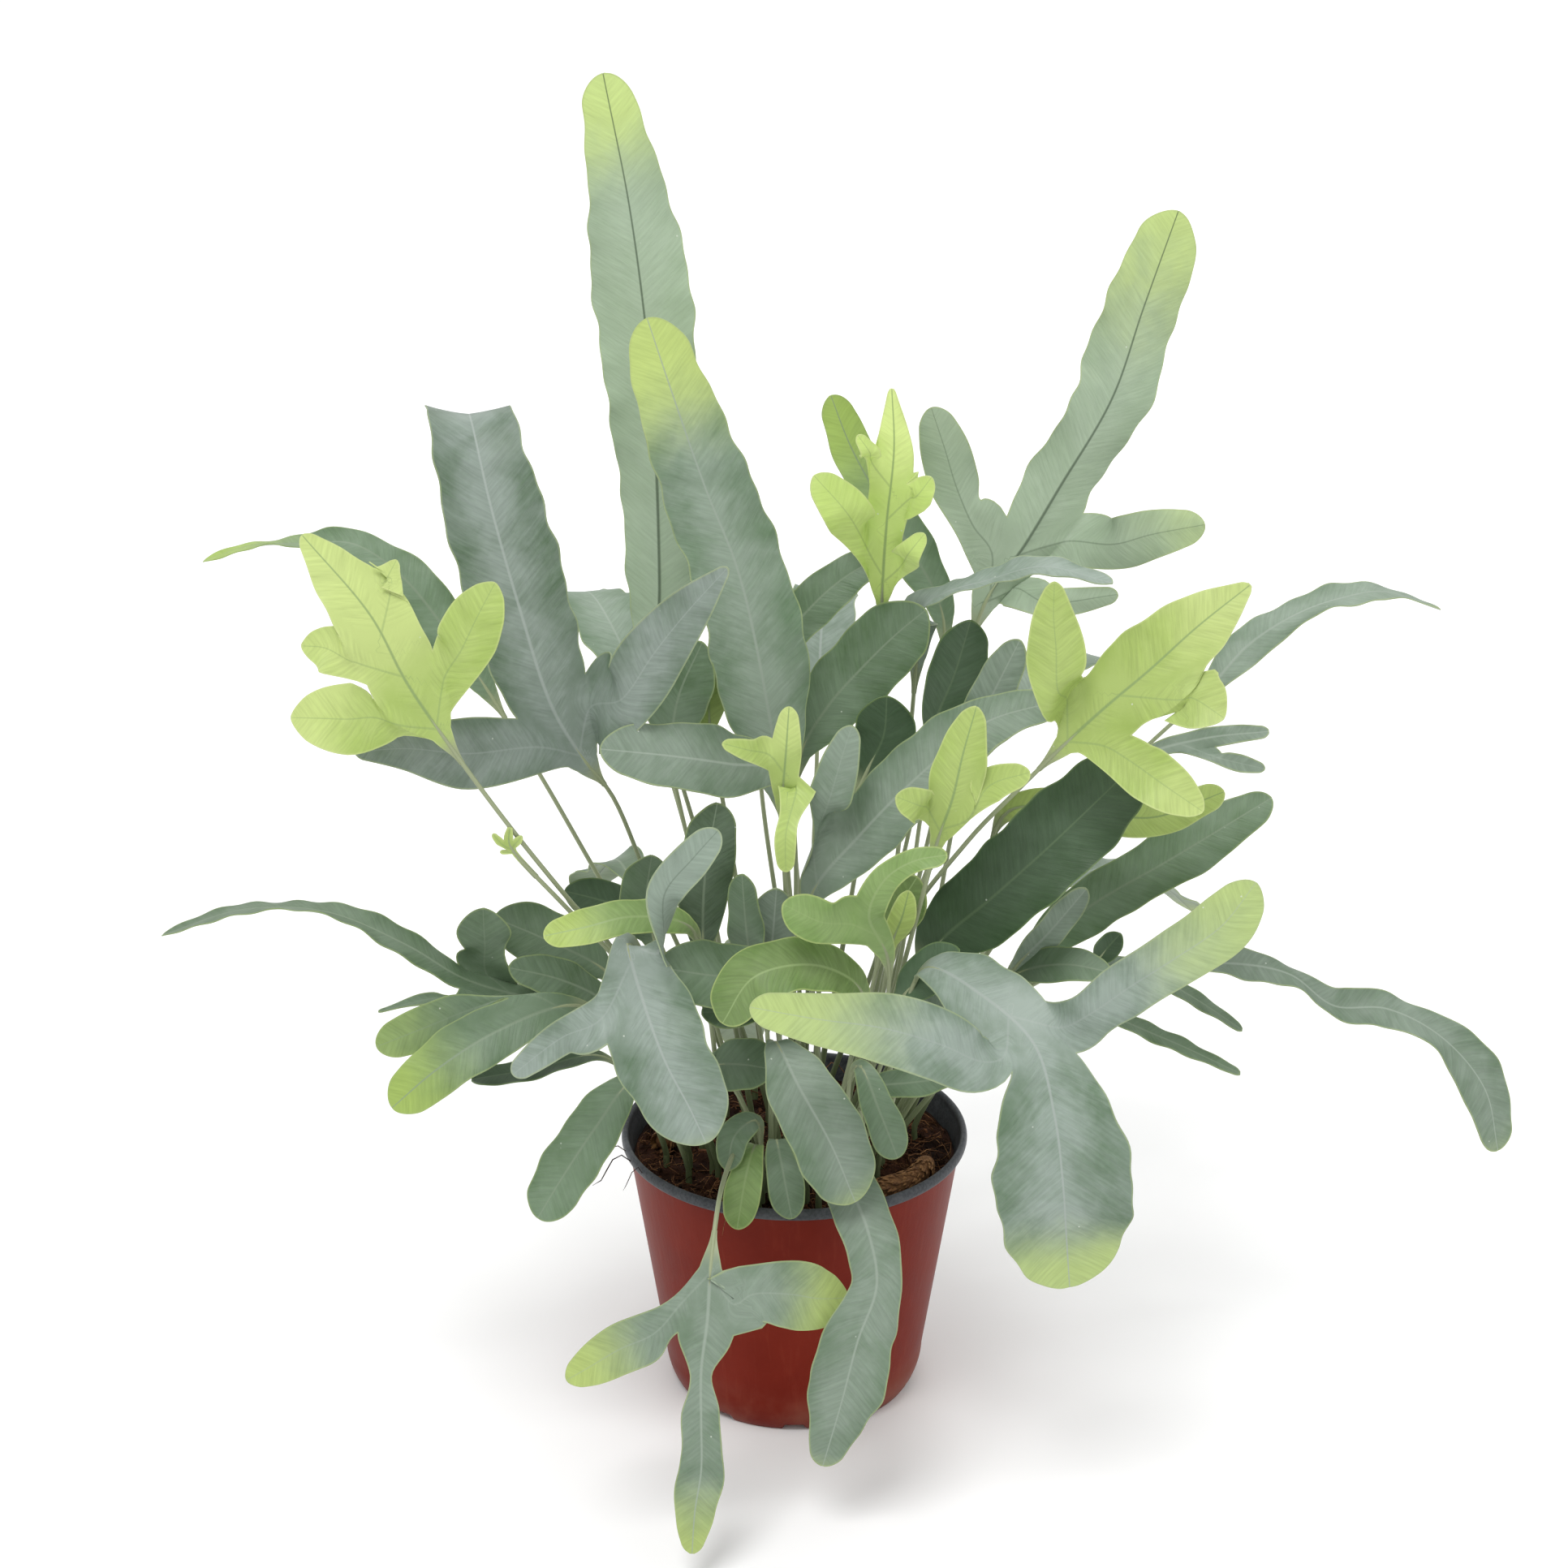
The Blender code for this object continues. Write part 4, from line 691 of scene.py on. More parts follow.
        "rib": [(-66, -38, 146), (-86, -42, 143), (-107, -42, 139)],
        "half": [3, 5, 5, 3], "face": [(0, -3, 9)], "wave": (0.5, 1),
    },
    "spike_right_low": {
        "tone": "green",
        "foot": (42, 6), "stalk": [(58, 4, 125), (78, 4, 140)],
        "rib": [(98, 4, 143), (127, 8, 130), (155, 8, 116)],
        "half": [3, 4, 4, 2], "face": [(0, -3, 9)], "wave": (0.5, 1),
    },
    "spike_right_high": {
        "tone": "green",
        "foot": (38, 16), "stalk": [(60, 16, 135), (90, 18, 152)],
        "rib": [(115, 20, 153), (137, 22, 140), (157, 22, 126)],
        "half": [3, 4, 4, 2], "face": [(0, -3, 9)], "wave": (0.5, 1),
    },
    "forked_centre": {
        "tone": "spring",
        "foot": (14, -30), "stalk": [(24, -48, 140), (30, -60, 180)],
        "rib": [(29, -67, 196), (23, -74, 213), (28, -76, 226), (37, -78, 233), (47, -78, 235)],
        "half": [3, 5, 5, 4, 3], "face": [front], "wave": (0.5, 1),
        "lobes": [(-1, 0.15, 0.45, [(8, -82, 214), (-4, -84, 221)], [7, 7, 5], front)],
    },
    "dark_behind_centre": {
        "tone": "dark",
        "foot": (18, 2), "stalk": [(34, 4, 150), (42, 7, 210)],
        "rib": [(46, 10, 243), (53, 12, 262), (58, 12, 281)],
        "half": [4, 9, 10, 6], "face": [(4, -9, 3)], "wave": (1, 1),
    },
    "leaf_behind_bright": {
        "tone": "grey",
        "foot": (24, 4), "stalk": [(42, 0, 150), (52, -4, 210)],
        "rib": [(56, -6, 241), (64, -8, 261), (73, -8, 281)],
        "half": [4, 7, 7, 4], "face": [(-3, -9, 3)], "wave": (1, 1),
    },
    "hanging_front_left": {
        "tone": "grey", "young": (0.55, 1.1), "lobeYoung": [0.9, 0.9], "toneAndPaintedLight": 0.94,
        "foot": (-22, -42), "stalk": [(-19, -55, 121), (-24, -80, 118)],
        "rib": [(-27, -99, 101), (-28, -106, 86), (-30, -112, 71), (-30, -118, 56), (-30, -123, 41),
                (-32, -128, 29), (-33, -131, 15)],
        "half": [4, 8.5, 8.5, 3.5, 6, 6.5, 7.5, 6, 2.5], "face": [(0, -8, 5), (0, -9, 3)], "wave": (1, 2),
        "lobes": [
            (1, 0.02, 0.24, [(-45, -106, 81), (-56, -109, 77), (-66, -112, 72), (-73, -113, 68)],
             [8.5, 8.3, 8, 6.5, 3], front),
            (-1, 0.02, 0.22, [(-14, -104, 94), (-2, -102, 93), (8, -98, 89), (17, -94, 87)],
             [9, 10.5, 11, 9, 4.5], front),
        ],
    },
    "hanging_front_right": {
        "tone": "grey", "young": (0.85, 1.2),
        "foot": (8, -45), "stalk": [(9, -52, 115)],
        "rib": [(12, -65, 122), (16, -80, 123), (23, -94, 112), (26, -101, 96), (20, -104, 77),
                (15, -105, 55), (9, -104, 30)],
        "half": [3, 8, 9, 8, 11, 12.5, 9, 4], "face": [(0, -5, 8), (0, -9, 3), (0, -9, 2)], "wave": (2, 3),
    },
    "low_right": {
        "tone": "grey",
        "foot": (28, -26), "stalk": [(33, -36, 130), (36, -42, 152)],
        "rib": [(37, -45, 163), (47, -52, 170), (61, -56, 175)],
        "half": [5, 8.5, 8.5, 5], "face": [(0, -8, 6)], "wave": (0.5, 1),
    },
    "low_front_right": {
        "tone": "green",
        "foot": (22, -38), "stalk": [(22, -47, 122), (22, -52, 136)],
        "rib": [(25, -56, 143), (38, -60, 147), (54, -62, 150)],
        "half": [4, 6, 6, 3], "face": [(0, -4, 9)], "wave": (0.5, 1),
    },
    "low_centre": {
        "tone": "green",
        "foot": (-10, -30), "stalk": [(-16, -38, 125), (-22, -42, 139)],
        "rib": [(-26, -46, 146), (-17, -53, 150), (-6, -57, 150)],
        "half": [5, 9, 9, 5], "face": [frontUp], "wave": (0.5, 1),
    },
    "dark_mid_left": {
        "tone": "green", "toneAndPaintedLight": 0.95,
        "foot": (-26, -4), "stalk": [(-36, -11, 135), (-44, -17, 162)],
        "rib": [(-47, -20, 181), (-49, -24, 196), (-47, -24, 212)],
        "half": [5, 9, 9, 5], "face": [(2, -9, 3)], "wave": (0.5, 1),
    },
    "rear_left_arch": {
        "tone": "grey", "young": (0.8, 1.1),
        "foot": (-14, 36), "stalk": [(-30, 60, 150), (-44, 84, 195)],
        "rib": [(-54, 100, 220), (-66, 122, 240), (-76, 146, 246), (-84, 168, 236)],
        "half": [4, 11, 13, 12, 7], "face": [(0, -4, 9), (0, 2, 9)], "wave": (2, 2),
    },
    "rear_centre_lobed": {
        "tone": "blue",
        "foot": (4, 42), "stalk": [(6, 62, 150), (8, 86, 195)],
        "rib": [(9, 102, 220), (10, 122, 238), (12, 146, 246), (14, 172, 238)],
        "half": [4, 11, 12, 11, 6], "face": [(0, -4, 9), (0, 2, 9)], "wave": (2, 2),
        "lobes": [
            (1, 0.06, 0.28, [(30, 112, 236), (46, 124, 242)], [8, 8, 5], (1, -1, 9)),
            (-1, 0.06, 0.28, [(-12, 112, 236), (-27, 122, 240)], [8, 8, 5], (-1, -1, 9)),
        ],
    },
    "rear_right_arch": {
        "tone": "grey",
        "foot": (20, 36), "stalk": [(38, 56, 145), (56, 76, 185)],
        "rib": [(70, 92, 206), (88, 112, 222), (106, 134, 226), (122, 154, 214)],
        "half": [4, 10, 12, 11, 7], "face": [(0, -4, 9), (1, 2, 9)], "wave": (2, 2),
    },
    "rear_left_low": {
        "tone": "green",
        "foot": (-32, 28), "stalk": [(-44, 48, 130), (-52, 66, 150)],
        "rib": [(-60, 84, 158), (-66, 104, 156), (-74, 122, 142), (-80, 134, 122)],
        "half": [4, 10, 11, 10, 6], "face": [(0, -2, 9), (-3, 3, 9)], "wave": (2, 2),
    },
    "rear_right_low": {
        "tone": "grey", "young": (0.7, 1.1),
        "foot": (34, 28), "stalk": [(56, 44, 130), (78, 60, 150)],
        "rib": [(96, 76, 158), (116, 92, 158), (136, 106, 146), (152, 118, 128)],
        "half": [4, 10, 11, 10, 6], "face": [(0, -2, 9), (3, 3, 9)], "wave": (2, 2),
    },
    "rear_hanging": {
        "tone": "grey", "young": (0.8, 1.1),
        "foot": (-4, 47), "stalk": [(-8, 64, 122), (-12, 84, 132)],
        "rib": [(-14, 98, 128), (-18, 116, 112), (-20, 130, 88), (-20, 138, 60)],
        "half": [4, 9, 10, 10, 7], "face": [(0, 2, 9), (0, 9, 2)], "wave": (2, 2),
    },
}

# small leaves that fill the gaps between the fronds, set out as the fronds are
smallLeaves = {
    "behindCurledLeft": {
        "tone": "dark", "foot": (-30, 6), "stalk": [(-38, 4, 140), (-46, 4, 168)],
        "rib": [(-52, 4, 178), (-64, 4, 183), (-78, 4, 187)],
        "half": [3, 7, 7, 4], "face": [frontUp], "wave": (0.5, 1),
    },
    "frontCentre": {
        "tone": "green", "foot": (-8, -38), "stalk": [(-8, -46, 130), (-9, -52, 160)],
        "rib": [(-10, -56, 173), (-19, -64, 175), (-30, -66, 175)],
        "half": [3, 6, 6, 4], "face": [frontUp], "wave": (0.5, 1),
    },
    "rimCentre": {
        "tone": "green", "foot": (-11, -40), "stalk": [(-11, -44, 112)],
        "rib": [(-13, -50, 128), (-20, -60, 127), (-22, -66, 118)],
        "half": [3, 5, 5, 3], "face": [frontUp], "wave": (0.5, 1),
    },
    "brightShoot": {
        "tone": "lime", "foot": (18, -26), "stalk": [(24, -42, 140), (29, -54, 180)],
        "rib": [(31, -58, 196), (34, -60, 206), (36, -60, 215)],
        "half": [2, 4, 4, 2], "face": [front], "wave": (0.3, 1),
    },
    "greenShoot": {
        "tone": "spring", "foot": (14, -22), "stalk": [(20, -38, 140), (26, -48, 180)],
        "rib": [(29, -50, 194), (33, -51, 205), (39, -51, 216)],
        "half": [5, 8, 8, 5], "face": [front], "wave": (0.5, 1), "toneAndPaintedLight": 0.7,
    },
    "greyInner": {
        "tone": "grey", "foot": (-2, -18), "stalk": [(-4, -30, 130), (-6, -38, 160)],
        "rib": [(-8, -40, 178), (-7, -42, 194), (-6, -42, 208)],
        "half": [4, 7, 7.5, 5], "face": [front], "wave": (0.5, 1), "toneAndPaintedLight": 0.9,
    },
    "innerDark": {
        "tone": "dark", "foot": (6, -8), "stalk": [(8, -12, 150), (10, -10, 200)],
        "rib": [(24, -8, 236), (29, -9, 248), (30, -9, 262)],
        "half": [4, 9, 10, 7], "face": [front], "wave": (0.5, 1),
    },
    "innerGreen": {
        "tone": "green", "foot": (-14, 0), "stalk": [(-22, -4, 150), (-32, -8, 210)],
        "rib": [(-40, -10, 246), (-38, -10, 262), (-30, -10, 281)],
        "half": [5, 10, 10, 6], "face": [(-2, -9, 3)], "wave": (0.5, 1),
    },
    "innerLime": {
        "tone": "lime", "foot": (-8, 2), "stalk": [(-14, 0, 150), (-22, -2, 210)],
        "rib": [(-28, -4, 250), (-28, -4, 262), (-26, -4, 276)],
        "half": [3, 6, 6, 4], "face": [front], "wave": (0.5, 1), "toneAndPaintedLight": 0.8,
    },
    "lowRight": {
        "tone": "grey", "foot": (26, -22), "stalk": [(32, -30, 125), (38, -36, 145)],
        "rib": [(43, -40, 157), (58, -56, 164), (72, -60, 166)],
        "half": [3, 7, 7, 4], "face": [frontUp], "wave": (1, 1),
    },
    "midRight": {
        "tone": "dark", "foot": (18, -34), "stalk": [(26, -48, 140), (32, -56, 165)],
        "rib": [(35, -59, 178), (43, -62, 188), (52, -62, 196)],
        "half": [4, 7, 7, 4], "face": [frontUp], "wave": (1, 1), "toneAndPaintedLight": 1.3,
    },
    "farMidRight": {
        "tone": "green", "foot": (30, -14), "stalk": [(44, -20, 135), (60, -26, 160)],
        "rib": [(73, -30, 172), (88, -40, 180), (103, -44, 179)],
        "half": [3, 6, 6, 3], "face": [frontUp], "wave": (0.5, 1),
    },
    "darkLeft": {
        "tone": "green", "foot": (-32, -4), "stalk": [(-44, -10, 125), (-54, -15, 145)],
        "rib": [(-63, -20, 157), (-78, -30, 170), (-94, -36, 177)],
        "half": [3, 7, 7, 4], "face": [frontUp], "wave": (0.5, 1),
    },
    "roundRight": {
        "tone": "dark", "foot": (30, -8), "stalk": [(56, -14, 140), (84, -20, 166)],
        "rib": [(100, -22, 173), (104, -22, 178), (108, -22, 183)],
        "half": [2, 4, 4, 3], "face": [front], "wave": (0.2, 1),
    },
    "star": {
        "tone": "lime", "foot": (-26, -24), "stalk": [(-54, -41, 176), (-72, -50, 203)],
        "rib": [(-89, -57, 227), (-90.5, -58, 231), (-90, -58, 236)],
        "half": [0.9, 1.5, 1.4, 0.7], "face": [front], "wave": (0.1, 1),
        "lobes": [
            (-1, 0.15, 0.55, [(-94.4, -58.6, 232.5), (-95.4, -58.6, 234)], [1.3, 0.8], front),
            (1, 0.15, 0.55, [(-87.4, -58.0, 231.6), (-86.4, -58.0, 233)], [1.3, 0.8], front),
            (-1, 0.0, 0.14, [(-93.4, -58, 227.5)], [0.8], front),
        ],
    },
}

frondShape = {
    "step": 1.7,  # spacing of the cross rows along a blade
    "leastSpan": 0.4,  # rows are laid only between marks further apart than this
    "crowding": 1.7,  # how strongly the rows crowd towards a tip
    "tipRows": 1.5,  # how much closer the rows stand in the blade's last stretch
    "lobeRows": 1.4,  # and along a lobe
    "moreRows": 3,  # rows added to each of these stretches
    "across": [0, 0.05, 0.12, 0.25, 0.40, 0.55, 0.70, 0.83, 0.93, 1],  # points from midrib to margin
    "slant": 0.7,  # how far the cross rows run forward, as a share of the half width
    "taper": 12.0,  # length over which the stalk widens into the blade
    "stalkHalf": 0.85,
    "stalkFoot": 1.15,
    "stalkSides": 8,
    "stalkGap": 0.45,  # from the substrate to the stalk's foot
    "stalkRise": 5.0,  # how far the stalk goes straight up first
    "stalkRunOut": 14.0,  # how far the stalk's tube runs on under the blade
    "stalkEnd": 0.25,  # its radius there
    "thickness": 0.36,
    "ridge": 0.55,  # height of the midrib under the blade, at its base
    "groove": 0.10,  # depth of the midrib's groove above
    "ribSpread": 0.8,
    "ribHalf": (0.72, 0.20),  # half width of the midrib at its base and tip
    "lobeRibHalf": (0.42, 0.14),
    "veinShift": 37.0,  # sets the veins of each rib apart from the next one's
    "veinStart": 400,  # and those of each frond
    "far": 50.0,  # distance given where there is no such rib
    "fold": 0.10,  # how far a margin rises above its midrib, as a share of the half width
    "ripple": 0.045,  # swelling of the outline, as a share of the half width
    "rippleLength": 23.0,
    "secondRipple": 0.57,  # length of a second swelling, as a share of the first
    "ruffle": 0.45,  # height of the small waves at the margin
    "ruffleLength": 14.0,
    "lobeWave": 0.35,  # height of a lobe's waves, as a share of its blade's
    "lobeWaves": 1.2,
    "tipHalf": 0.2,
    "closing": 1.3,  # a tip closes over this many times the last half width
    "longestClosing": 0.6,
}


def setOut(points):
    # moves frond points with the pot: outwards with its rim, and up with its substrate
    points = np.array(points, float)
    reach = np.hypot(points[:, 0], points[:, 1])
    push = 1 + (rimRadius - setOutRim) * np.minimum(1, reach / setOutRim) / np.maximum(reach, 1e-9)
    points[:, :2] *= push[:, None]
    points[:, 2] += soilPeak - soilCrown / 2 - setOutSoil
    return points


def soilHeight(radius):
    # the substrate's cone
    return soilPeak - soilCrown * np.minimum(1, radius / soilRadius)


def closingWidths(half, shares, length):
    # half widths along a blade: smooth through the given values, closing in an ellipse over the last stretch
    closing = min(frondShape["longestClosing"], frondShape["closing"] * half[-1] / length)
    beyond = np.clip((shares - 1 + closing) / closing, 0, 1)
    return np.maximum(evenSteps(half, shares) * np.sqrt(1 - beyond ** 2), frondShape["tipHalf"])


def pathFrames(path, along, base, length, face):
    # points, upper-side normals and right-hand directions at every point of a path
    tangents = unit(np.gradient(path, along, axis=0))
    faces = evenSteps(face, (along - base) / length)
    normals = unit(faces - np.sum(faces * tangents, 1, keepdims=True) * tangents)
    return np.hstack([path, normals, np.cross(tangents, normals)])


def closeToTip(low, high, count):
    # places from low to high that crowd towards high
    return high - (high - low) * (1 - np.linspace(0, 1, count)) ** frondShape["crowding"]


def bladeColumns(length, lobes):
    # places of the cross rows along a blade: at each lobe's ends and middle, even between, closer at the tip
    shape = frondShape
    marks = {-shape["taper"], 0.0}
    for _, start, end, *_ in lobes:
        marks |= {start * length, 0.5 * (start + end) * length, end * length}
    marks = sorted(marks)
    columns = [np.array([marks[0]])]
    for low, high in zip(marks, marks[1:]):
        if high - low > shape["leastSpan"]:
            columns.append(np.linspace(low, high, math.ceil((high - low) / shape["step"]) + 1)[1:])
    last = marks[-1]
    count = math.ceil(shape["tipRows"] * (length - last) / shape["step"]) + shape["moreRows"]
    columns.append(closeToTip(last, length, count)[1:])
    return np.concatenate(columns)


def bladeGrid(table, along, base, length, frond, draw):
    # point(m, s) = rib(t) + s * width(t) * right(t) + lift * normal(t), t = m - slant * width(m) * (1 - |s|):
    # the cross rows meet the margin at m and lean back to the rib, as the veins do
    shape = frondShape
    start = draw.uniform(0, 2 * math.pi, 4)
    height, count = frond["wave"]

    def widthAt(place, side):
        # half width at a place: the given one with its swellings, opening from the stalk's
        long = shape["rippleLength"]
        full = closingWidths(frond["half"], place / length, length)
        swell = (
            0.6 * np.sin(2 * math.pi * place / long + start[0] + 2.1 * side)
            + 0.4 * np.sin(2 * math.pi * place / (shape["secondRipple"] * long) + start[1] - 1.3 * side)
        )
        opening = smoothStep(-shape["taper"], 0.35 * shape["taper"], place)
        swollen = full * (1 + shape["ripple"] * swell)
        return shape["stalkHalf"] + np.maximum(swollen - shape["stalkHalf"], 0) * opening

    columns = bladeColumns(length, frond.get("lobes", []))
    steps = np.array(shape["across"], float)
    signed = np.concatenate([-steps[:0:-1], steps])
    side, share = np.sign(signed)[None, :], np.abs(signed)[None, :]
    margin = np.where(side == 0, 0.5 * (widthAt(columns, -1) + widthAt(columns, 1))[:, None],
                      widthAt(columns[:, None], side))
    tipward = 1 - smoothStep(length - 4, length, columns)[:, None]
    place = columns[:, None] - shape["slant"] * margin * (1 - share) * tipward
    place = np.minimum(place, length)
    width = np.where(side == 0, 0, widthAt(place, side))
    width = width * np.where(place > length - 0.02, shape["tipHalf"] / shape["stalkHalf"], 1)
    frames = readTable(along, table, base + place)
    blade = np.sqrt(np.sin(math.pi * np.clip(place / length, 0, 1)))
    turn = 2 * math.pi * count * np.clip(place / length, 0, 1) + np.where(side > 0, 2.0, 0.0)
    lift = (
        shape["fold"] * width * share ** 0.4 * share * frond.get("cup", 1.0)
        + height * blade * np.sin(turn) * share ** 1.6
        + shape["ruffle"] * blade * share ** 3
        * np.sin(2 * math.pi * place / shape["ruffleLength"] + start[2] + side)
    )
    middle, normal, right = frames[..., :3], frames[..., 3:6], frames[..., 6:]
    points = middle + (signed[None, :] * width)[..., None] * right + lift[..., None] * normal
    return columns, points, place / length


def lobeGrid(edge, ribPoint, ribNormal, route, half, face, waveHeight, phase):
    # rows laid across the lobe's own path; the first row is the blade's margin, and its shape fades out
    # along the lobe
    shape = frondShape
    placed = lengthsAlong(edge)
    middle = readTable(placed, edge, np.array([0.5 * placed[-1]]))[0]
    path = smoothPath(np.vstack([ribPoint, middle, route]))
    along = lengthsAlong(path)
    base = along[np.argmin(np.linalg.norm(path - middle, axis=1))]
    length = along[-1] - base
    rows = closeToTip(0, 1, math.ceil(shape["lobeRows"] * length / shape["step"]) + shape["moreRows"])
    tangents = unit(np.gradient(path, along, axis=0))
    table = np.hstack([path, tangents])
    read = readTable(along, table, base + rows * length)
    points, tangents = read[:, :3], unit(read[:, 3:])
    faces = evenSteps([unit(ribNormal), unit(np.array(face, float))], np.minimum(1, 1.5 * rows))
    normals = unit(faces - np.sum(faces * tangents, 1, keepdims=True) * tangents)
    right = np.cross(tangents, normals)
    span = edge[-1] - edge[0]
    right = right * np.sign(np.sum(right[0] * span))
    widths = closingWidths([0.5 * np.linalg.norm(span), *half], rows, length)
    across = 2 * placed / placed[-1] - 1
    offset = across[None, :] * widths[:, None]
    lift = shape["fold"] * widths[:, None] * np.abs(across)[None, :] ** 1.4
    rise = np.sqrt(np.sin(math.pi * np.clip(rows, 0, 1)))[:, None]
    turn = 2 * math.pi * shape["lobeWaves"] * rows[:, None] + phase + across
    lift = lift + waveHeight * rise * across[None, :] ** 2 * np.sin(turn)
    grid = points[:, None] + offset[..., None] * right[:, None] + lift[..., None] * normals[:, None]
    fade = 1 - smoothStep(0, 0.5, rows)[:, None, None]
    return grid + fade * (edge[None] - grid[:1]), rows, path


def toPolyline(points, normals, line):
    # for each point, its distance from the line within the surface, the same with a sign for its side, and
    # how far along the line the nearest place is
    start, step = line[:-1], np.diff(line, axis=0)
    square = np.maximum(np.sum(step * step, 1), 1e-9)
    offset = points[:, None] - start[None]
    share = np.clip(np.sum(offset * step[None], 2) / square, 0, 1)
    offset = offset - share[..., None] * step[None]
    nearest = np.argmin(np.linalg.norm(offset, axis=2), 1)
    row = np.arange(len(points))
    offset = offset[row, nearest]
    high = np.sum(offset * normals, 1)
    flat = offset - high[:, None] * normals
    away = np.hypot(np.linalg.norm(flat, axis=1), np.maximum(np.abs(high) - 2, 0))
    side = np.sign(np.sum(flat * np.cross(step[nearest], normals), 1) + 1e-9)
    return away, away * side, lengthsAlong(line)[nearest] + share[row, nearest] * np.sqrt(square[nearest])


def vertexNormals(points, quads):
    # at each point, the sum of the crossed diagonals of its quads, made one long
    corners = points[quads]
    facing = np.cross(corners[:, 2] - corners[:, 0], corners[:, 3] - corners[:, 1])
    normals = np.zeros_like(points)
    np.add.at(normals, quads.ravel(), np.repeat(facing, 4, axis=0))
    return unit(normals)


def frondSurface(frond, draw):
    # the blade with its lobes is one sheet, made thick, with the rib standing out below; the stalk is a tube
    shape = frondShape
    anchor = setOut([(*frond["foot"], 0)])[0]
    ground = soilHeight(math.hypot(anchor[0], anchor[1]))
    foot = ground + shape["stalkGap"]
    start = [(anchor[0], anchor[1], foot), (anchor[0], anchor[1], foot + shape["stalkRise"])]
    rib = setOut(frond["rib"])
    path = smoothPath(np.vstack([start, setOut(frond["stalk"]), rib]))
    along = lengthsAlong(path)
    base = along[np.argmin(np.linalg.norm(path - rib[0], axis=1))]
    length = along[-1] - base
    table = pathFrames(path, along, base, length, frond["face"])
    columns, grid, shares = bladeGrid(table, along, base, length, frond, draw)

    rows, width = grid.shape[:2]
    centre = width // 2
    points = grid.reshape(-1, 3)
    quads = gridFaces(rows, width)
    ages = frond.get("young", (2.0, 3.0))
    young = smoothStep(ages[0], ages[1], shares).ravel()
    stalkShare = (0.4 * (1 - smoothStep(-shape["taper"], 3.0, shares * length))).ravel()
    names = np.arange(rows * width).reshape(rows, width)
    # each rib: its line, half widths at its ends, which line it is, sign of its sides
    ribs = [(grid[:, centre], *shape["ribHalf"], 0, 1)]
    gridNormals = vertexNormals(points, quads).reshape(rows, width, 3)
    onSide = {-1: 0, 1: 0}
    for index, (side, low, high, lobeRib, lobeHalf, lobeFace) in enumerate(frond.get("lobes", [])):
        first, last = (int(np.argmin(abs(columns - share * length))) for share in (low, high))
        source = int(np.argmin(abs(columns - (low + 0.25 * (high - low)) * length)))
        column = 0 if side < 0 else width - 1
        edgeNames = names[first:last + 1, column]
        lobe, lobeRows, lobePath = lobeGrid(
            points[edgeNames], grid[source, centre], gridNormals[source, centre], setOut(lobeRib), lobeHalf,
            lobeFace, shape["lobeWave"] * frond["wave"][0], draw.uniform(0, 2 * math.pi),
        )
        made = np.arange(len(points), len(points) + lobe[1:].shape[0] * lobe.shape[1])
        lobeNames = np.vstack([edgeNames, made.reshape(len(lobe) - 1, -1)])
        faces = lobeNames.ravel()[gridFaces(*lobeNames.shape)]
        quads = np.vstack([quads, faces if side < 0 else faces[:, ::-1]])
        points = np.vstack([points, lobe[1:].reshape(-1, 3)])
        lobeAge = frond.get("lobeYoung", [0] * (index + 1))[index]
        grown = np.broadcast_to(smoothStep(0.1, 1.0, lobeRows)[1:, None], lobe[1:].shape[:2])
        baseAge = young[edgeNames][None, :] * (1 - grown)
        young = np.concatenate([young, (baseAge + grown * lobeAge).ravel()])
        stalkShare = np.concatenate([stalkShare, np.zeros(made.size)])
        onSide[side] += 1
        ribs.append((lobePath, *shape["lobeRibHalf"], onSide[side], -side))

    # how far each point is from the nearest rib, and where along it; the midrib and two rounds of lobe ribs
    # are also kept one by one with a sign, so that their lines stay sharp between the points
    normals = vertexNormals(points, quads)
    found = [toPolyline(points, normals, rib[0]) for rib in ribs]
    away, signed, place = (np.array(kind) for kind in zip(*found))
    nearest = np.argmin(away, 0)
    row = np.arange(len(points))
    fromRib, alongRib = away[nearest, row], place[nearest, row]
    reach = np.array([lengthsAlong(rib[0])[-1] for rib in ribs])
    thick, thin = np.array([rib[1] for rib in ribs]), np.array([rib[2] for rib in ribs])
    ribHalf = thick[nearest] + (thin - thick)[nearest] * np.clip(alongRib / reach[nearest], 0, 1)
    clear = np.ones(len(points))
    if len(ribs) > 1:
        clear = smoothStep(0, 5.0, np.sort(away, 0)[1] - fromRib)
    alongRib = alongRib + shape["veinShift"] * nearest + draw.uniform(0, shape["veinStart"])
    lines = np.full((len(points), 3), shape["far"])
    for order in range(3):
        own = [index for index, rib in enumerate(ribs) if rib[3] == order]
        if own:
            closest = np.array(own)[np.argmin(away[own], 0)]
            way = np.array([rib[4] for rib in ribs])
            lines[:, order] = signed[closest, row] * way[closest]

    # margin: the sheet's open edges
    edges = np.vstack([quads[:, [0, 1]], quads[:, [1, 2]], quads[:, [2, 3]], quads[:, [3, 0]]])
    size = len(points)
    keys, back = edges[:, 0] * size + edges[:, 1], edges[:, 1] * size + edges[:, 0]
    rim = edges[~np.isin(keys, back)]
    rimPoints = points[np.unique(rim)]
    toEdge = np.min(np.linalg.norm(points[:, None] - rimPoints[None], axis=2), 1)

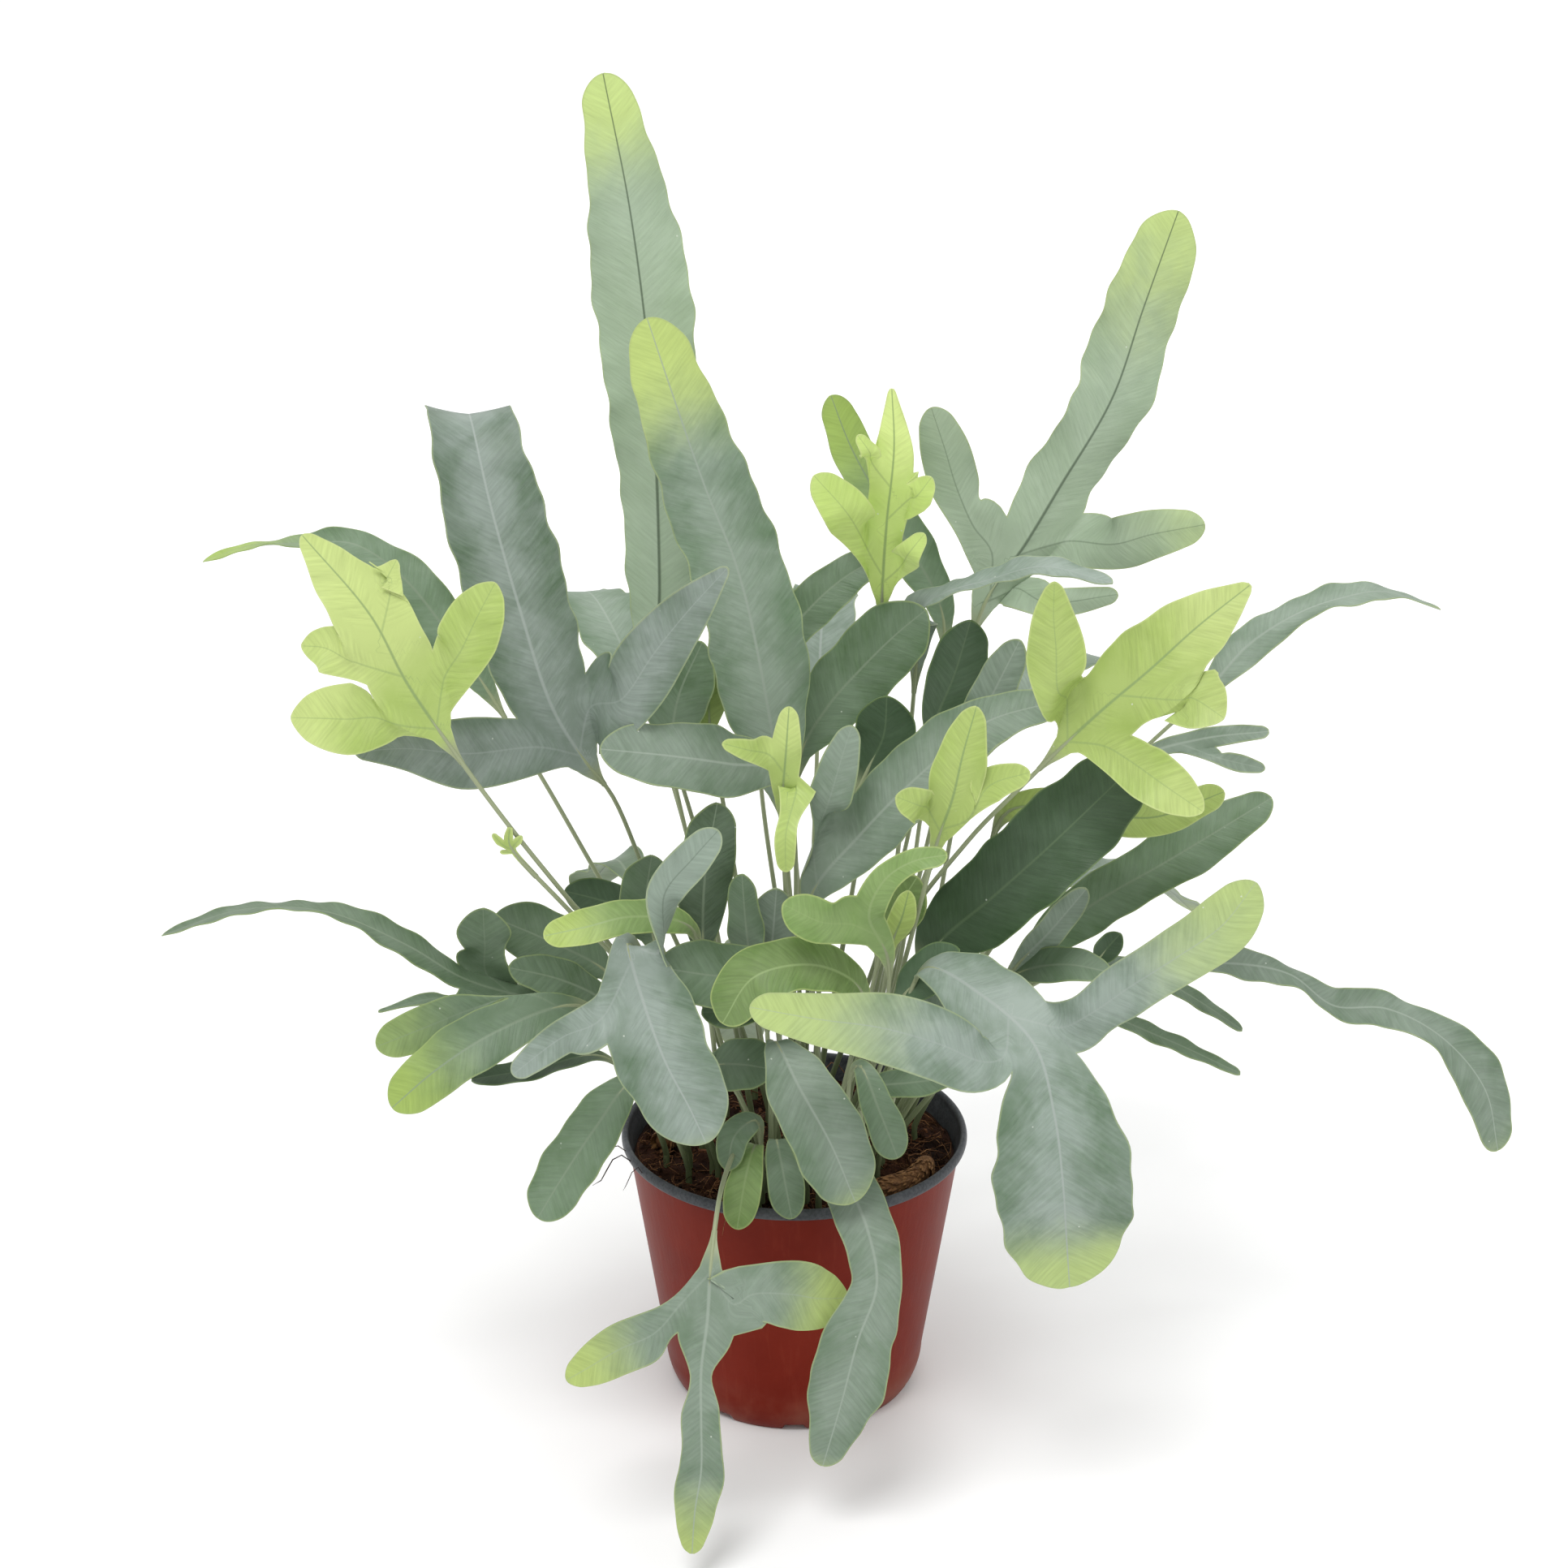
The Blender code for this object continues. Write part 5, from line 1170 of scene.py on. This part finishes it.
    ribForm = np.exp(-(fromRib / shape["ribSpread"]) ** 2) * ribHalf / shape["ribHalf"][0]
    above = 0.5 * shape["thickness"] - shape["groove"] * ribForm
    below = 0.5 * shape["thickness"] + shape["ridge"] * ribForm
    top, bottom = points + above[:, None] * normals, points - below[:, None] * normals
    hem = np.stack([rim[:, 1], rim[:, 0], rim[:, 0] + size, rim[:, 1] + size], 1)
    faces = [quads, quads[:, ::-1] + size, hem]

    # stalk: a ring carried along the path, thinner towards the blade, that runs out under the midrib
    stalkEnd = base + shape["stalkRunOut"]
    stops = np.concatenate([np.linspace(0, base - 3, math.ceil(base / 5)), np.linspace(base, stalkEnd, 7)])
    read = readTable(along, table, stops)
    angle = np.arange(shape["stalkSides"]) * 2 * math.pi / shape["stalkSides"]
    radii = [shape["stalkFoot"], shape["stalkHalf"], shape["ribHalf"][0], shape["stalkEnd"]]
    radius = np.interp(stops, [0, 0.4 * base, base, stalkEnd], radii)
    sink = np.interp(stops, [base - 15, base, stalkEnd], [0, 0.35, 0.45])
    middle = read[:, :3] - sink[:, None] * read[:, 3:6]
    ring = middle[:, None] + radius[:, None, None] * (
        np.cos(angle)[None, :, None] * read[:, None, 6:] + np.sin(angle)[None, :, None] * read[:, None, 3:6]
    )
    stalkNames = np.arange(ring.shape[0] * ring.shape[1]).reshape(ring.shape[:2]) + 2 * size
    tube = stalkNames.ravel()[gridFaces(*stalkNames.shape, wrap=True)]
    caps = [stalkNames[0][::-1], stalkNames[-1]]

    count = stalkNames.size
    ringAlong = np.repeat(stops, shape["stalkSides"])
    age = np.interp(ringAlong, [0, 0.5 * base, base, stalkEnd], [1.0, 0.7, 0.4, 0.1])
    zeros = np.zeros(count)
    # given factors mix the frond's own tone with painted light and shade: lower for fronds deep in the plant,
    # higher for those turned from the light; otherwise a random tone of its own
    toneAndPaintedLight = frond.get("toneAndPaintedLight", draw.uniform(0.93, 1.07))

    def whole(sheet, stalk):
        # the sheet's values for its upper and its under side, then the stalk's
        return np.concatenate([sheet, sheet, stalk])

    underSide = np.concatenate([np.zeros(size), np.ones(size), zeros])
    attributes = {
        "leafPlace": np.stack([
            whole(alongRib, ringAlong) * mm, whole(fromRib, zeros) * mm, whole(clear, zeros)], 1),
        "leafLines": whole(lines, np.full((count, 3), shape["far"])) * mm,
        "leafTone": np.stack([whole(young, zeros), whole(toEdge, zeros + 9) * mm, underSide], 1),
        "leafStem": np.stack([
            whole(ribHalf, zeros + 0.3) * mm, whole(stalkShare, age), np.full(2 * size + count, toneAndPaintedLight)], 1),
    }
    vertices = np.vstack([top, bottom, ring.reshape(-1, 3)])
    return vertices, [*np.vstack([*faces, tube]).tolist(), *(cap.tolist() for cap in caps)], attributes

total = 0
for order, (name, frond) in enumerate([*fronds.items(), *smallLeaves.items()]):
    draw = np.random.default_rng(order + 11)
    vertices, faces, attributes = frondSurface(frond, draw)
    replaced = ["frond_" + name] if name in fronds else []
    makePiece("leaf_" + name, vertices, faces, leafMaterials[frond["tone"]], replaced, attributes)
    total += len(faces)
print("fronds made:", len(fronds), "and small leaves:", len(smallLeaves), "with", total, "faces")

pot = {
    "baseRadius": 41.5, "shoulderHeight": 13.0, "shoulderRadius": 45.5, "wall": 1.0, "floor": 1.4,
    "lipHeight": 4.5, "lipOverhang": 2.4, "lipRound": 0.62,  # the lip's bead is this much as wide as high
    "turns": 360, "notches": 10, "notchWidth": 7.0, "notchHeight": 2.6, "notchDepth": 3.0,
    "outOfRound": 0.0012,
    "foot": 1.3,  # how far the floor stands over the ring that the pot rests on
}


def wallRadius(height):
    # the straight wall between the shoulder and the lip
    share = (height - pot["shoulderHeight"]) / (potHeight - pot["lipHeight"] - pot["shoulderHeight"])
    return pot["shoulderRadius"] + share * (rimRadius - pot["lipOverhang"] - pot["shoulderRadius"])


def potProfile():
    # (radius, height) from the underside's middle, up the wall, over the rolled lip and down to the inner
    # floor, and a layer for each: 0 for the red outside, 1 for the grey inside, which also shows on the lip
    base, shoulder = pot["baseRadius"], pot["shoulderRadius"]
    heights = np.linspace(pot["shoulderHeight"], potHeight - pot["lipHeight"] - 0.6, 34)
    bend = np.linspace(0, 1, 9)[1:-1]
    footHeights = 0.6 + (pot["shoulderHeight"] - 0.6) * bend
    footRadii = base + 0.2 + (shoulder - base - 0.2) * np.sin(0.5 * math.pi * bend) ** 0.8
    outside = [
        (0, pot["foot"]), (0.9 * base, pot["foot"]), (base - 3.4, pot["foot"]), (base - 2.8, 0.2),
        (base - 2.3, 0), (base - 0.5, 0), (base, 0.25),
        *zip(footRadii, footHeights), *zip(wallRadius(heights), heights),
    ]
    lipAngles = np.linspace(-0.5 * math.pi, math.pi, 19)
    bead = 0.5 * (pot["lipHeight"] - 0.4)
    wide, lipLow = pot["lipRound"] * bead, potHeight - pot["lipHeight"]
    centre = (rimRadius - wide, potHeight - bead)
    lip = [(centre[0] + wide * math.cos(a), centre[1] + bead * math.sin(a)) for a in lipAngles]
    under = wallRadius(lipLow)
    lip = [(under, lipLow - 0.1), (under + 0.3, lipLow + 0.25), *lip]
    down = heights[::-1]
    floor = pot["floor"] + pot["foot"]
    inner = [
        (centre[0] - wide - 0.2, potHeight - 1.6 * bead), *zip(wallRadius(down) - pot["wall"], down),
        *zip(footRadii[::-1] - pot["wall"], footHeights[::-1] + pot["floor"]), (base - 3, floor), (0, floor),
    ]
    layer = np.concatenate([np.zeros(len(outside)), np.ones(len(lip) + len(inner))])
    return np.array([*outside, *lip, *inner], float), layer


def turnedSurface(profile, turns):
    # point(i, a) = (radius(i) cos a, radius(i) sin a, height(i)); each end of the profile is one point
    angle = np.arange(turns) * 2 * math.pi / turns
    radius, height = profile[1:-1, 0], profile[1:-1, 1]
    grid = np.stack(np.broadcast_arrays(
        radius[:, None] * np.cos(angle), radius[:, None] * np.sin(angle), height[:, None]), -1)
    rings = len(radius)
    quads = gridFaces(rings, turns, wrap=True)[:, ::-1]
    first, last = rings * turns, rings * turns + 1
    step = np.arange(turns)
    after = (step + 1) % turns
    outer = (rings - 1) * turns
    fans = [
        np.stack([np.full(turns, first), after, step], 1)[:, ::-1],
        np.stack([np.full(turns, last), step + outer, after + outer], 1)[:, ::-1],
    ]
    ends = [[0, 0, profile[0, 1]], [0, 0, profile[-1, 1]]]
    faces = [*quads.tolist(), *fans[0].tolist(), *fans[1].tolist()]
    return grid, np.vstack([grid.reshape(-1, 3), ends]), faces, angle


def potMaterial():
    material, tree, shader = newMaterial("potPlastic", 0.42, 0.10)
    layer, coords = attribute(tree, "potLayer"), objectPlace(tree)
    cloud = noise(tree, coords, 34.0, 4.0, 0.6)
    grain = noise(tree, coords, 900.0, 2.0, 0.6)
    stretch = addNode(tree, "ShaderNodeMapping", {"Vector": coords, "Scale": (420.0, 420.0, 26.0)})
    drawn = noise(tree, stretch.outputs[0], 1.0, 3.0, 0.6)
    red = mixColour(tree, mapRange(tree, cloud, 0.3, 0.7), (0.148, 0.0105, 0.0036), (0.180, 0.0155, 0.0060))
    red = mixColour(tree, times(tree, mapRange(tree, drawn, 0.52, 0.75), 0.20), red, (0.24, 0.040, 0.020))
    height = parts(tree, coords)["Z"]
    dusty = times(tree, mapRange(tree, height, 0.022, 0.0), mapRange(tree, cloud, 0.35, 0.65))
    red = mixColour(tree, times(tree, dusty, 0.35), red, (0.30, 0.16, 0.11))
    grey = mixColour(tree, mapRange(tree, grain, 0.3, 0.7), (0.048, 0.052, 0.058), (0.078, 0.082, 0.090))
    rubbed = mapRange(tree, cloud, 0.48, 0.70)
    grey = mixColour(tree, times(tree, rubbed, 0.35), grey, (0.19, 0.195, 0.20))
    colour = mixColour(tree, mapRange(tree, layer, 0.4, 0.6), red, grey)
    specksAt = addNode(tree, "ShaderNodeGroup", node_tree=specks)
    specksAt.inputs["Density"].default_value = 0.03
    colour = mixColour(tree, times(tree, specksAt.outputs["Speck"], 0.3), colour, (0.45, 0.36, 0.28))
    tree.links.new(colour, shader.inputs["Base Color"])
    tree.links.new(maths(tree, "ADD", times(tree, cloud, 0.22), 0.30), shader.inputs["Roughness"])
    addRelief(tree, shader, maths(tree, "ADD", times(tree, grain, 0.5), drawn), 0.18, 0.0004)
    return material


def makePot():
    # the turned profile, with its drain notches, very slightly out of round
    profile, layer = potProfile()
    grid, vertices, faces, angle = turnedSurface(profile, pot["turns"])
    # drain notches: the foot's ring is lifted where the angle falls in one of them
    turn = (angle * pot["notches"] / (2 * math.pi)) % 1.0
    halfNotch = 0.5 * pot["notchWidth"] * pot["notches"] / (2 * math.pi * pot["baseRadius"])
    notch = 1 - smoothStep(0.8 * halfNotch, 1.2 * halfNotch, np.abs(turn - 0.5))
    ringRadius, ringHeight = profile[1:-1, 0], profile[1:-1, 1]
    low = (ringHeight < pot["notchHeight"]) & (ringRadius > pot["baseRadius"] - pot["notchDepth"])
    low = low & (layer[1:-1] < 0.5)
    lifted = grid[..., 2] + (pot["notchHeight"] - grid[..., 2]) * notch[None, :] * low[:, None]
    vertices[:lifted.size, 2] = lifted.ravel()
    draw = np.random.default_rng(3)
    around = np.arctan2(vertices[:, 1], vertices[:, 0])
    out = 1 + pot["outOfRound"] * np.sin(2 * around + draw.uniform(0, 6)) - pot["outOfRound"]
    vertices[:, :2] *= out[:, None]
    layers = np.concatenate([np.repeat(layer[1:-1], pot["turns"]), [0.0, 1.0]])
    makePiece("potShell", vertices, faces, potMaterial(), ["pot"], {"potLayer": layers},
              smoothAngle=40)


makePot()
print("pot made")

substrate = {
    "rings": 70, "turns": 260, "belowRim": 9.0, "bottom": 4.2,
    "rough": 1.5, "sizes": [17.0, 9.0, 5.0, 2.6, 1.5],  # height and lengths of the bed's waves
    "gap": 0.35,  # between the bed and the pot's wall
    "fibres": 1500, "fibreLength": (5.0, 17.0), "fibreHalf": (0.10, 0.22), "fibreStops": 7, "fibreSides": 3,
    "chips": 420, "chipSize": (1.0, 3.6), "chipRounding": 0.18,
    # loose ends that hang out over the left of the rim, heights from the rim; their half widths and shades
    "spill": [
        [(-50, -20, -6.5), (-55, -21, -3), (-59, -22, 0.7), (-62, -23, -0.5), (-64, -24, -4), (-66, -24, -8),
         (-69, -24, -10)],
        [(-52, -14, -6.5), (-56, -15, -3), (-60.5, -15, 0.5), (-63, -15, 0), (-65, -16, -2), (-68, -16, -3),
         (-71, -16, -3)],
        [(-49, -28, -6.5), (-51, -30, -3), (-53, -31, 0.8), (-55, -33, 0), (-56, -34, -2), (-57, -35, -4),
         (-58, -35, -6)],
        [(-20, -52, -7), (-21, -55, -3), (-22, -57, 0.7), (-22, -59.5, -0.5), (-23, -61, -3),
         (-23.5, -61.5, -5), (-24, -62, -8)],
    ],
    "spillHalf": [0.26, 0.22, 0.18, 0.14], "spillShade": [0.25, 0.4, 0.3, 0.9],
}


def coirMaterial(name, dark, middle, pale, ownShade=None):
    # dark, middle and pale coir in patches; ownShade names an attribute that shades each fibre or chip
    material, tree, shader = newMaterial(name, 0.95, 0.2)
    coords = objectPlace(tree)
    grain = noise(tree, coords, 420.0, 4.0, 0.7)
    patch = noise(tree, coords, 90.0, 4.0, 0.6)
    if ownShade:
        patch = maths(tree, "ADD", times(tree, patch, 0.3), times(tree, attribute(tree, ownShade), 0.8))
    colour = mixColour(tree, mapRange(tree, patch, 0.35, 0.62), dark, middle)
    colour = mixColour(tree, mapRange(tree, times(tree, grain, patch), 0.28, 0.50), colour, pale)
    tree.links.new(colour, shader.inputs["Base Color"])
    addRelief(tree, shader, grain, 0.8, 0.0008)
    return material


def soilSurface(x, y):
    # a low cone roughened by waves of falling size, flattened towards the wall
    reach = np.hypot(x, y)
    lumps = waves(x, y, substrate["sizes"], np.random.default_rng(8))
    calm = 1 - smoothStep(0.9, 1.0, reach / soilRadius) * 0.6
    return soilHeight(reach) + substrate["rough"] * lumps * calm - 0.4


def makeSubstrate():
    # a turned plug that fills the pot, its top face roughened
    edge = wallRadius(potHeight - substrate["belowRim"]) - pot["wall"] - substrate["gap"]
    radii = np.linspace(0, 1, substrate["rings"]) ** 0.8 * edge
    lower = np.array([
        [edge - 0.6, soilPeak - soilCrown - 6], [pot["shoulderRadius"] - 1.6, pot["shoulderHeight"] + 2],
        [pot["baseRadius"] - 5, substrate["bottom"]], [0, substrate["bottom"]],
    ])
    profile = np.vstack([np.stack([radii, np.full(len(radii), soilPeak)], 1), lower])[::-1]
    _, vertices, faces, _ = turnedSurface(profile, substrate["turns"])
    top = vertices[:, 2] > soilPeak - 0.5
    vertices[top, 2] = soilSurface(vertices[top, 0], vertices[top, 1])
    colours = (0.012, 0.005, 0.003), (0.040, 0.014, 0.007), (0.115, 0.045, 0.020)
    makePiece("coirBed", vertices, faces, coirMaterial("coirSubstrate", *colours),
              ["substrate"], smoothAngle=180)


def fibreRoutes(count, lengths, draw):
    # each fibre is an arc about a random place that runs a random way, turns steadily and arches over the bed
    reach = soilRadius * np.sqrt(draw.uniform(0, 0.93, count))
    around, heading = draw.uniform(0, 2 * math.pi, (2, count))
    length, turn = draw.uniform(*lengths, count), draw.normal(0, 1.5, count)
    stops = substrate["fibreStops"]
    share = np.linspace(0, 1, stops)[None, :]
    way = heading[:, None] + turn[:, None] * share
    step, half = length[:, None] / (stops - 1), 0.5 * length[:, None]
    x, y = (reach[:, None] * turned(around)[:, None] + np.cumsum(turned(way) * step, 1) - half * turned(way)
            for turned in (np.cos, np.sin))
    out = np.maximum(np.hypot(x, y) / (soilRadius - 1.2), 1)
    x, y = x / out, y / out
    arch = draw.gamma(1.4, 0.9, count)[:, None]
    z = soilSurface(x, y) + arch * np.sin(math.pi * share) - 0.25
    return np.stack([x, y, z], -1)


def tubes(routes, halves, sides):
    # rings of a few points round each route, closing to a near point at both ends
    tangents = unit(np.gradient(routes, axis=1))
    across = unit(np.cross(tangents, [0.13, 0.21, 1.0]))
    up = np.cross(across, tangents)
    angle = np.arange(sides) * 2 * math.pi / sides
    stops = routes.shape[1]
    taper = 0.25 + 0.75 * np.sqrt(np.sin(math.pi * np.linspace(0.0, 1.0, stops)).clip(0, 1))
    radius = halves[:, None, None, None] * taper[None, :, None, None]
    rings = routes[:, :, None] + radius * (
        np.cos(angle)[None, None, :, None] * across[:, :, None]
        + np.sin(angle)[None, None, :, None] * up[:, :, None]
    )
    own = gridFaces(stops, sides, wrap=True)
    first, last = np.arange(sides), np.arange(sides) + (stops - 1) * sides
    offset = (np.arange(len(routes)) * stops * sides)[:, None, None]
    quads = (own[None] + offset).reshape(-1, 4)
    ends = np.concatenate([(first[::-1][None] + offset[:, 0]), (last[None] + offset[:, 0])])
    return rings.reshape(-1, 3), [*quads.tolist(), *ends.tolist()]


def makeFibres():
    draw = np.random.default_rng(21)
    routes = fibreRoutes(substrate["fibres"], substrate["fibreLength"], draw)
    halves = draw.uniform(*substrate["fibreHalf"], len(routes))
    shades = draw.uniform(0, 1, len(routes))
    routes = np.concatenate([routes, np.array(substrate["spill"], float) + [0, 0, potHeight]])
    halves = np.concatenate([halves, substrate["spillHalf"]])
    sides = substrate["fibreSides"]
    vertices, faces = tubes(routes, halves, sides)
    own = np.repeat(np.concatenate([shades, substrate["spillShade"]]), routes.shape[1] * sides)
    colours = (0.030, 0.011, 0.005), (0.110, 0.045, 0.019), (0.300, 0.150, 0.065)
    makePiece("coirFibres", vertices, faces, coirMaterial("coirFibre", *colours, "fibreShade"),
              attributes={"fibreShade": own}, smoothAngle=180)


def makeChips():
    # loose lumps: a cube's corners pushed about, stretched, turned at random and set in the bed
    draw = np.random.default_rng(34)
    count = substrate["chips"]
    corners = np.array([[x, y, z] for z in (-1, 1) for y in (-1, 1) for x in (-1, 1)], float)
    quads = np.array([[0, 2, 3, 1], [4, 5, 7, 6], [0, 1, 5, 4], [1, 3, 7, 5], [3, 2, 6, 7], [2, 0, 4, 6]])
    form = corners[None] * draw.uniform(0.5, 1.0, (count, 8, 3))
    size = draw.uniform(*substrate["chipSize"], count)[:, None, None] * 0.5
    flatness = np.stack([np.ones(count), draw.uniform(0.4, 0.9, count), draw.uniform(0.25, 0.7, count)], 1)
    form = form * size * flatness[:, None]
    turn = np.linalg.qr(draw.normal(0, 1, (count, 3, 3)))[0]
    turn = turn * np.sign(np.linalg.det(turn))[:, None, None]
    form = np.einsum("nij,nkj->nki", turn, form)
    reach = (soilRadius - 2.5) * np.sqrt(draw.uniform(0, 1, count))
    around = draw.uniform(0, 2 * math.pi, count)
    x, y = reach * np.cos(around), reach * np.sin(around)
    form = form + np.stack([x, y, soilSurface(x, y) + 0.2 * size[:, 0, 0]], 1)[:, None]
    faces = (quads[None] + 8 * np.arange(count)[:, None, None]).reshape(-1, 4)
    colours = (0.016, 0.006, 0.003), (0.055, 0.020, 0.009), (0.150, 0.062, 0.028)
    piece = makePiece("coirChips", form.reshape(-1, 3), faces.tolist(),
                      coirMaterial("coirChip", *colours, "chipShade"),
                      attributes={"chipShade": np.repeat(draw.uniform(0, 1, count), 8)}, smoothAngle=35)
    rounding = piece.modifiers.new("rounding", "BEVEL")
    rounding.width, rounding.segments = substrate["chipRounding"] * mm, 1
    rounding.limit_method = "NONE"


makeSubstrate()
makeFibres()
makeChips()
print("substrate made")

rhizomes = {
    "rhizome_left": [(-48, 16), (-44, 4), (-46, -4)],
    "rhizome_right": [(46, -16), (42, -26), (34, -34), (25, -40)],
}
rhizomeShape = {
    "radius": 3.4, "sides": 20, "rings": 60, "gap": 0.5,  # gap: over the substrate
    "scales": 330, "scaleLength": 3.4, "scaleHalf": 0.75,
}


def scaleMaterial():
    material, tree, shader = newMaterial("rhizomeScale", 0.8, 0.3)
    grain = noise(tree, objectPlace(tree), 700.0, 3.0, 0.6)
    own = times(tree, attribute(tree, "scaleShade"), 0.9)
    colour = mixColour(tree, own, (0.085, 0.035, 0.014), (0.330, 0.170, 0.060))
    colour = mixColour(tree, mapRange(tree, grain, 0.35, 0.7), colour, (0.200, 0.095, 0.035))
    tree.links.new(colour, shader.inputs["Base Color"])
    addRelief(tree, shader, grain, 0.5, 0.0004)
    return material


def makeRhizome(name, route, material, draw):
    # a tube of swelling radius along its route, with pointed scales laid over it towards its growing end
    shape = rhizomeShape
    flat = smoothPath(setOut([(x, y, 0) for x, y in route]))
    reach = np.hypot(flat[:, 0], flat[:, 1])
    flat[:, 2] = soilHeight(reach - shape["radius"]) + shape["radius"] + shape["gap"]
    along = lengthsAlong(flat)
    stops = np.linspace(0, along[-1], shape["rings"])
    middle = readTable(along, flat, stops)
    tangents = unit(np.gradient(middle, axis=0))
    across = unit(np.cross(tangents, [0, 0, 1.0]))
    up = np.cross(across, tangents)
    share = stops / along[-1]
    closing = np.sqrt(1 - np.abs(2 * share - 1) ** 7 * 0.96)  # rounds both ends
    radius = shape["radius"] * (1 + 0.08 * np.sin(9 * share + 1)) * closing
    angle = np.arange(shape["sides"]) * 2 * math.pi / shape["sides"]
    ring = middle[:, None] + radius[:, None, None] * (
        np.cos(angle)[None, :, None] * across[:, None] + np.sin(angle)[None, :, None] * up[:, None])
    body = gridFaces(shape["rings"], shape["sides"], wrap=True)
    last = (shape["rings"] - 1) * shape["sides"]
    count = shape["scales"]
    at, around = draw.uniform(1, along[-1] - 2, count), draw.uniform(0, 2 * math.pi, count)
    table = np.hstack([middle, tangents, across, up, radius[:, None]])
    read = readTable(stops, table, at)
    way, side, rise, out = read[:, 3:6], read[:, 6:9], read[:, 9:12], read[:, 12:]
    outward = np.cos(around)[:, None] * side + np.sin(around)[:, None] * rise
    sideways = unit(np.cross(way, outward))
    seat = read[:, :3] + out * outward
    size = draw.uniform(0.7, 1.2, count)[:, None]
    long, half = shape["scaleLength"] * size, shape["scaleHalf"] * size
    tip = seat + way * long + outward * 0.75 * size
    waist = seat + way * 0.45 * long + outward * 0.15
    crest = seat + way * 0.4 * long + outward * 0.62 * size
    scales = np.stack([seat - outward * 0.3, waist + sideways * half, tip, waist - sideways * half, crest], 1)
    own = np.array([[0, 4, 1], [1, 4, 2], [2, 4, 3], [3, 4, 0], [0, 1, 2], [0, 2, 3]])[:, ::-1]
    names = (own[None] + 5 * np.arange(count)[:, None, None]).reshape(-1, 3) + ring[..., 0].size
    shades = np.concatenate([np.full(ring[..., 0].size, 0.2), np.repeat(draw.uniform(0, 1, count), 5)])
    ends = [list(range(shape["sides"]))[::-1], list(range(last, last + shape["sides"]))]
    makePiece(name + "Scaly", np.vstack([ring.reshape(-1, 3), scales.reshape(-1, 3)]),
              [*body.tolist(), *ends, *names.tolist()], material, [name], {"scaleShade": shades},
              smoothAngle=40)


scaleFinish = scaleMaterial()
for order, (name, route) in enumerate(rhizomes.items()):
    makeRhizome(name, route, scaleFinish, np.random.default_rng(70 + order))
print("rhizomes made:", len(rhizomes))

studio = {
    "camera": (-0.0036, -1.010, 0.626), "tilt": 21.7, "lens": 75.0,
    "world": 0.74, "sun": 1.55, "sunSpread": 26.0, "sunPlace": (-0.45, -0.95, 2.2),
    # name: place, width and height, watts
    "lights": {
        "fillLight": ((1.5, -0.9, 1.5), (1.6, 1.6), 6.0),
        "backLight": ((0.2, 1.6, 1.9), (1.8, 1.2), 12.0),
    },
    "target": (0, 0, 0.2),
    "floorHalf": 9.0,
}


def aim(item, target):
    # turns a light, which shines down its own -Z, towards the target
    way = np.array(target) - np.array(item.location)
    item.rotation_euler = (
        math.atan2(math.hypot(way[0], way[1]), -way[2]), 0, math.atan2(way[1], way[0]) - 0.5 * math.pi)


def makeStudio():
    scene = bpy.context.scene
    lens = bpy.data.cameras.new("camera")
    lens.lens, lens.sensor_width, lens.clip_start = studio["lens"], 36.0, 0.01
    camera = bpy.data.objects.new("camera", lens)
    camera.location = studio["camera"]
    camera.rotation_euler = (math.radians(90 - studio["tilt"]), 0, 0)
    scene.collection.objects.link(camera)
    scene.camera = camera
    for name, (place, size, power) in studio["lights"].items():
        lamp = bpy.data.lights.new(name, "AREA")
        lamp.shape, lamp.size, lamp.size_y, lamp.energy = "RECTANGLE", size[0], size[1], power
        light = bpy.data.objects.new(name, lamp)
        light.location = place
        aim(light, studio["target"])
        scene.collection.objects.link(light)
    sun = bpy.data.lights.new("keySun", "SUN")
    sun.energy, sun.angle = studio["sun"], math.radians(studio["sunSpread"])
    key = bpy.data.objects.new("keySun", sun)
    key.location = studio["sunPlace"]
    aim(key, studio["target"])
    scene.collection.objects.link(key)
    world = bpy.data.worlds.new("studioWorld")
    world.use_nodes = True
    background = world.node_tree.nodes["Background"]
    background.inputs[0].default_value = (1, 1, 1, 1)
    background.inputs[1].default_value = studio["world"]
    scene.world = world
    scene.view_settings.view_transform = "Standard"
    half = studio["floorHalf"]
    mesh = bpy.data.meshes.new("floor")
    corners = [(-half, -half, 0), (half, -half, 0), (half, half, 0), (-half, half, 0)]
    mesh.from_pydata(corners, [], [(0, 1, 2, 3)])
    floor = bpy.data.objects.new("floor", mesh)
    paper, tree, shader = newMaterial("paperFloor", 0.9, 0.1)
    tone = mapRange(tree, noise(tree, objectPlace(tree), 6.0), 0.3, 0.7)
    colour = mixColour(tree, tone, (0.90, 0.90, 0.90), (0.92, 0.92, 0.92))
    tree.links.new(colour, shader.inputs["Base Color"])
    mesh.materials.append(paper)
    scene.collection.objects.link(floor)


makeStudio()
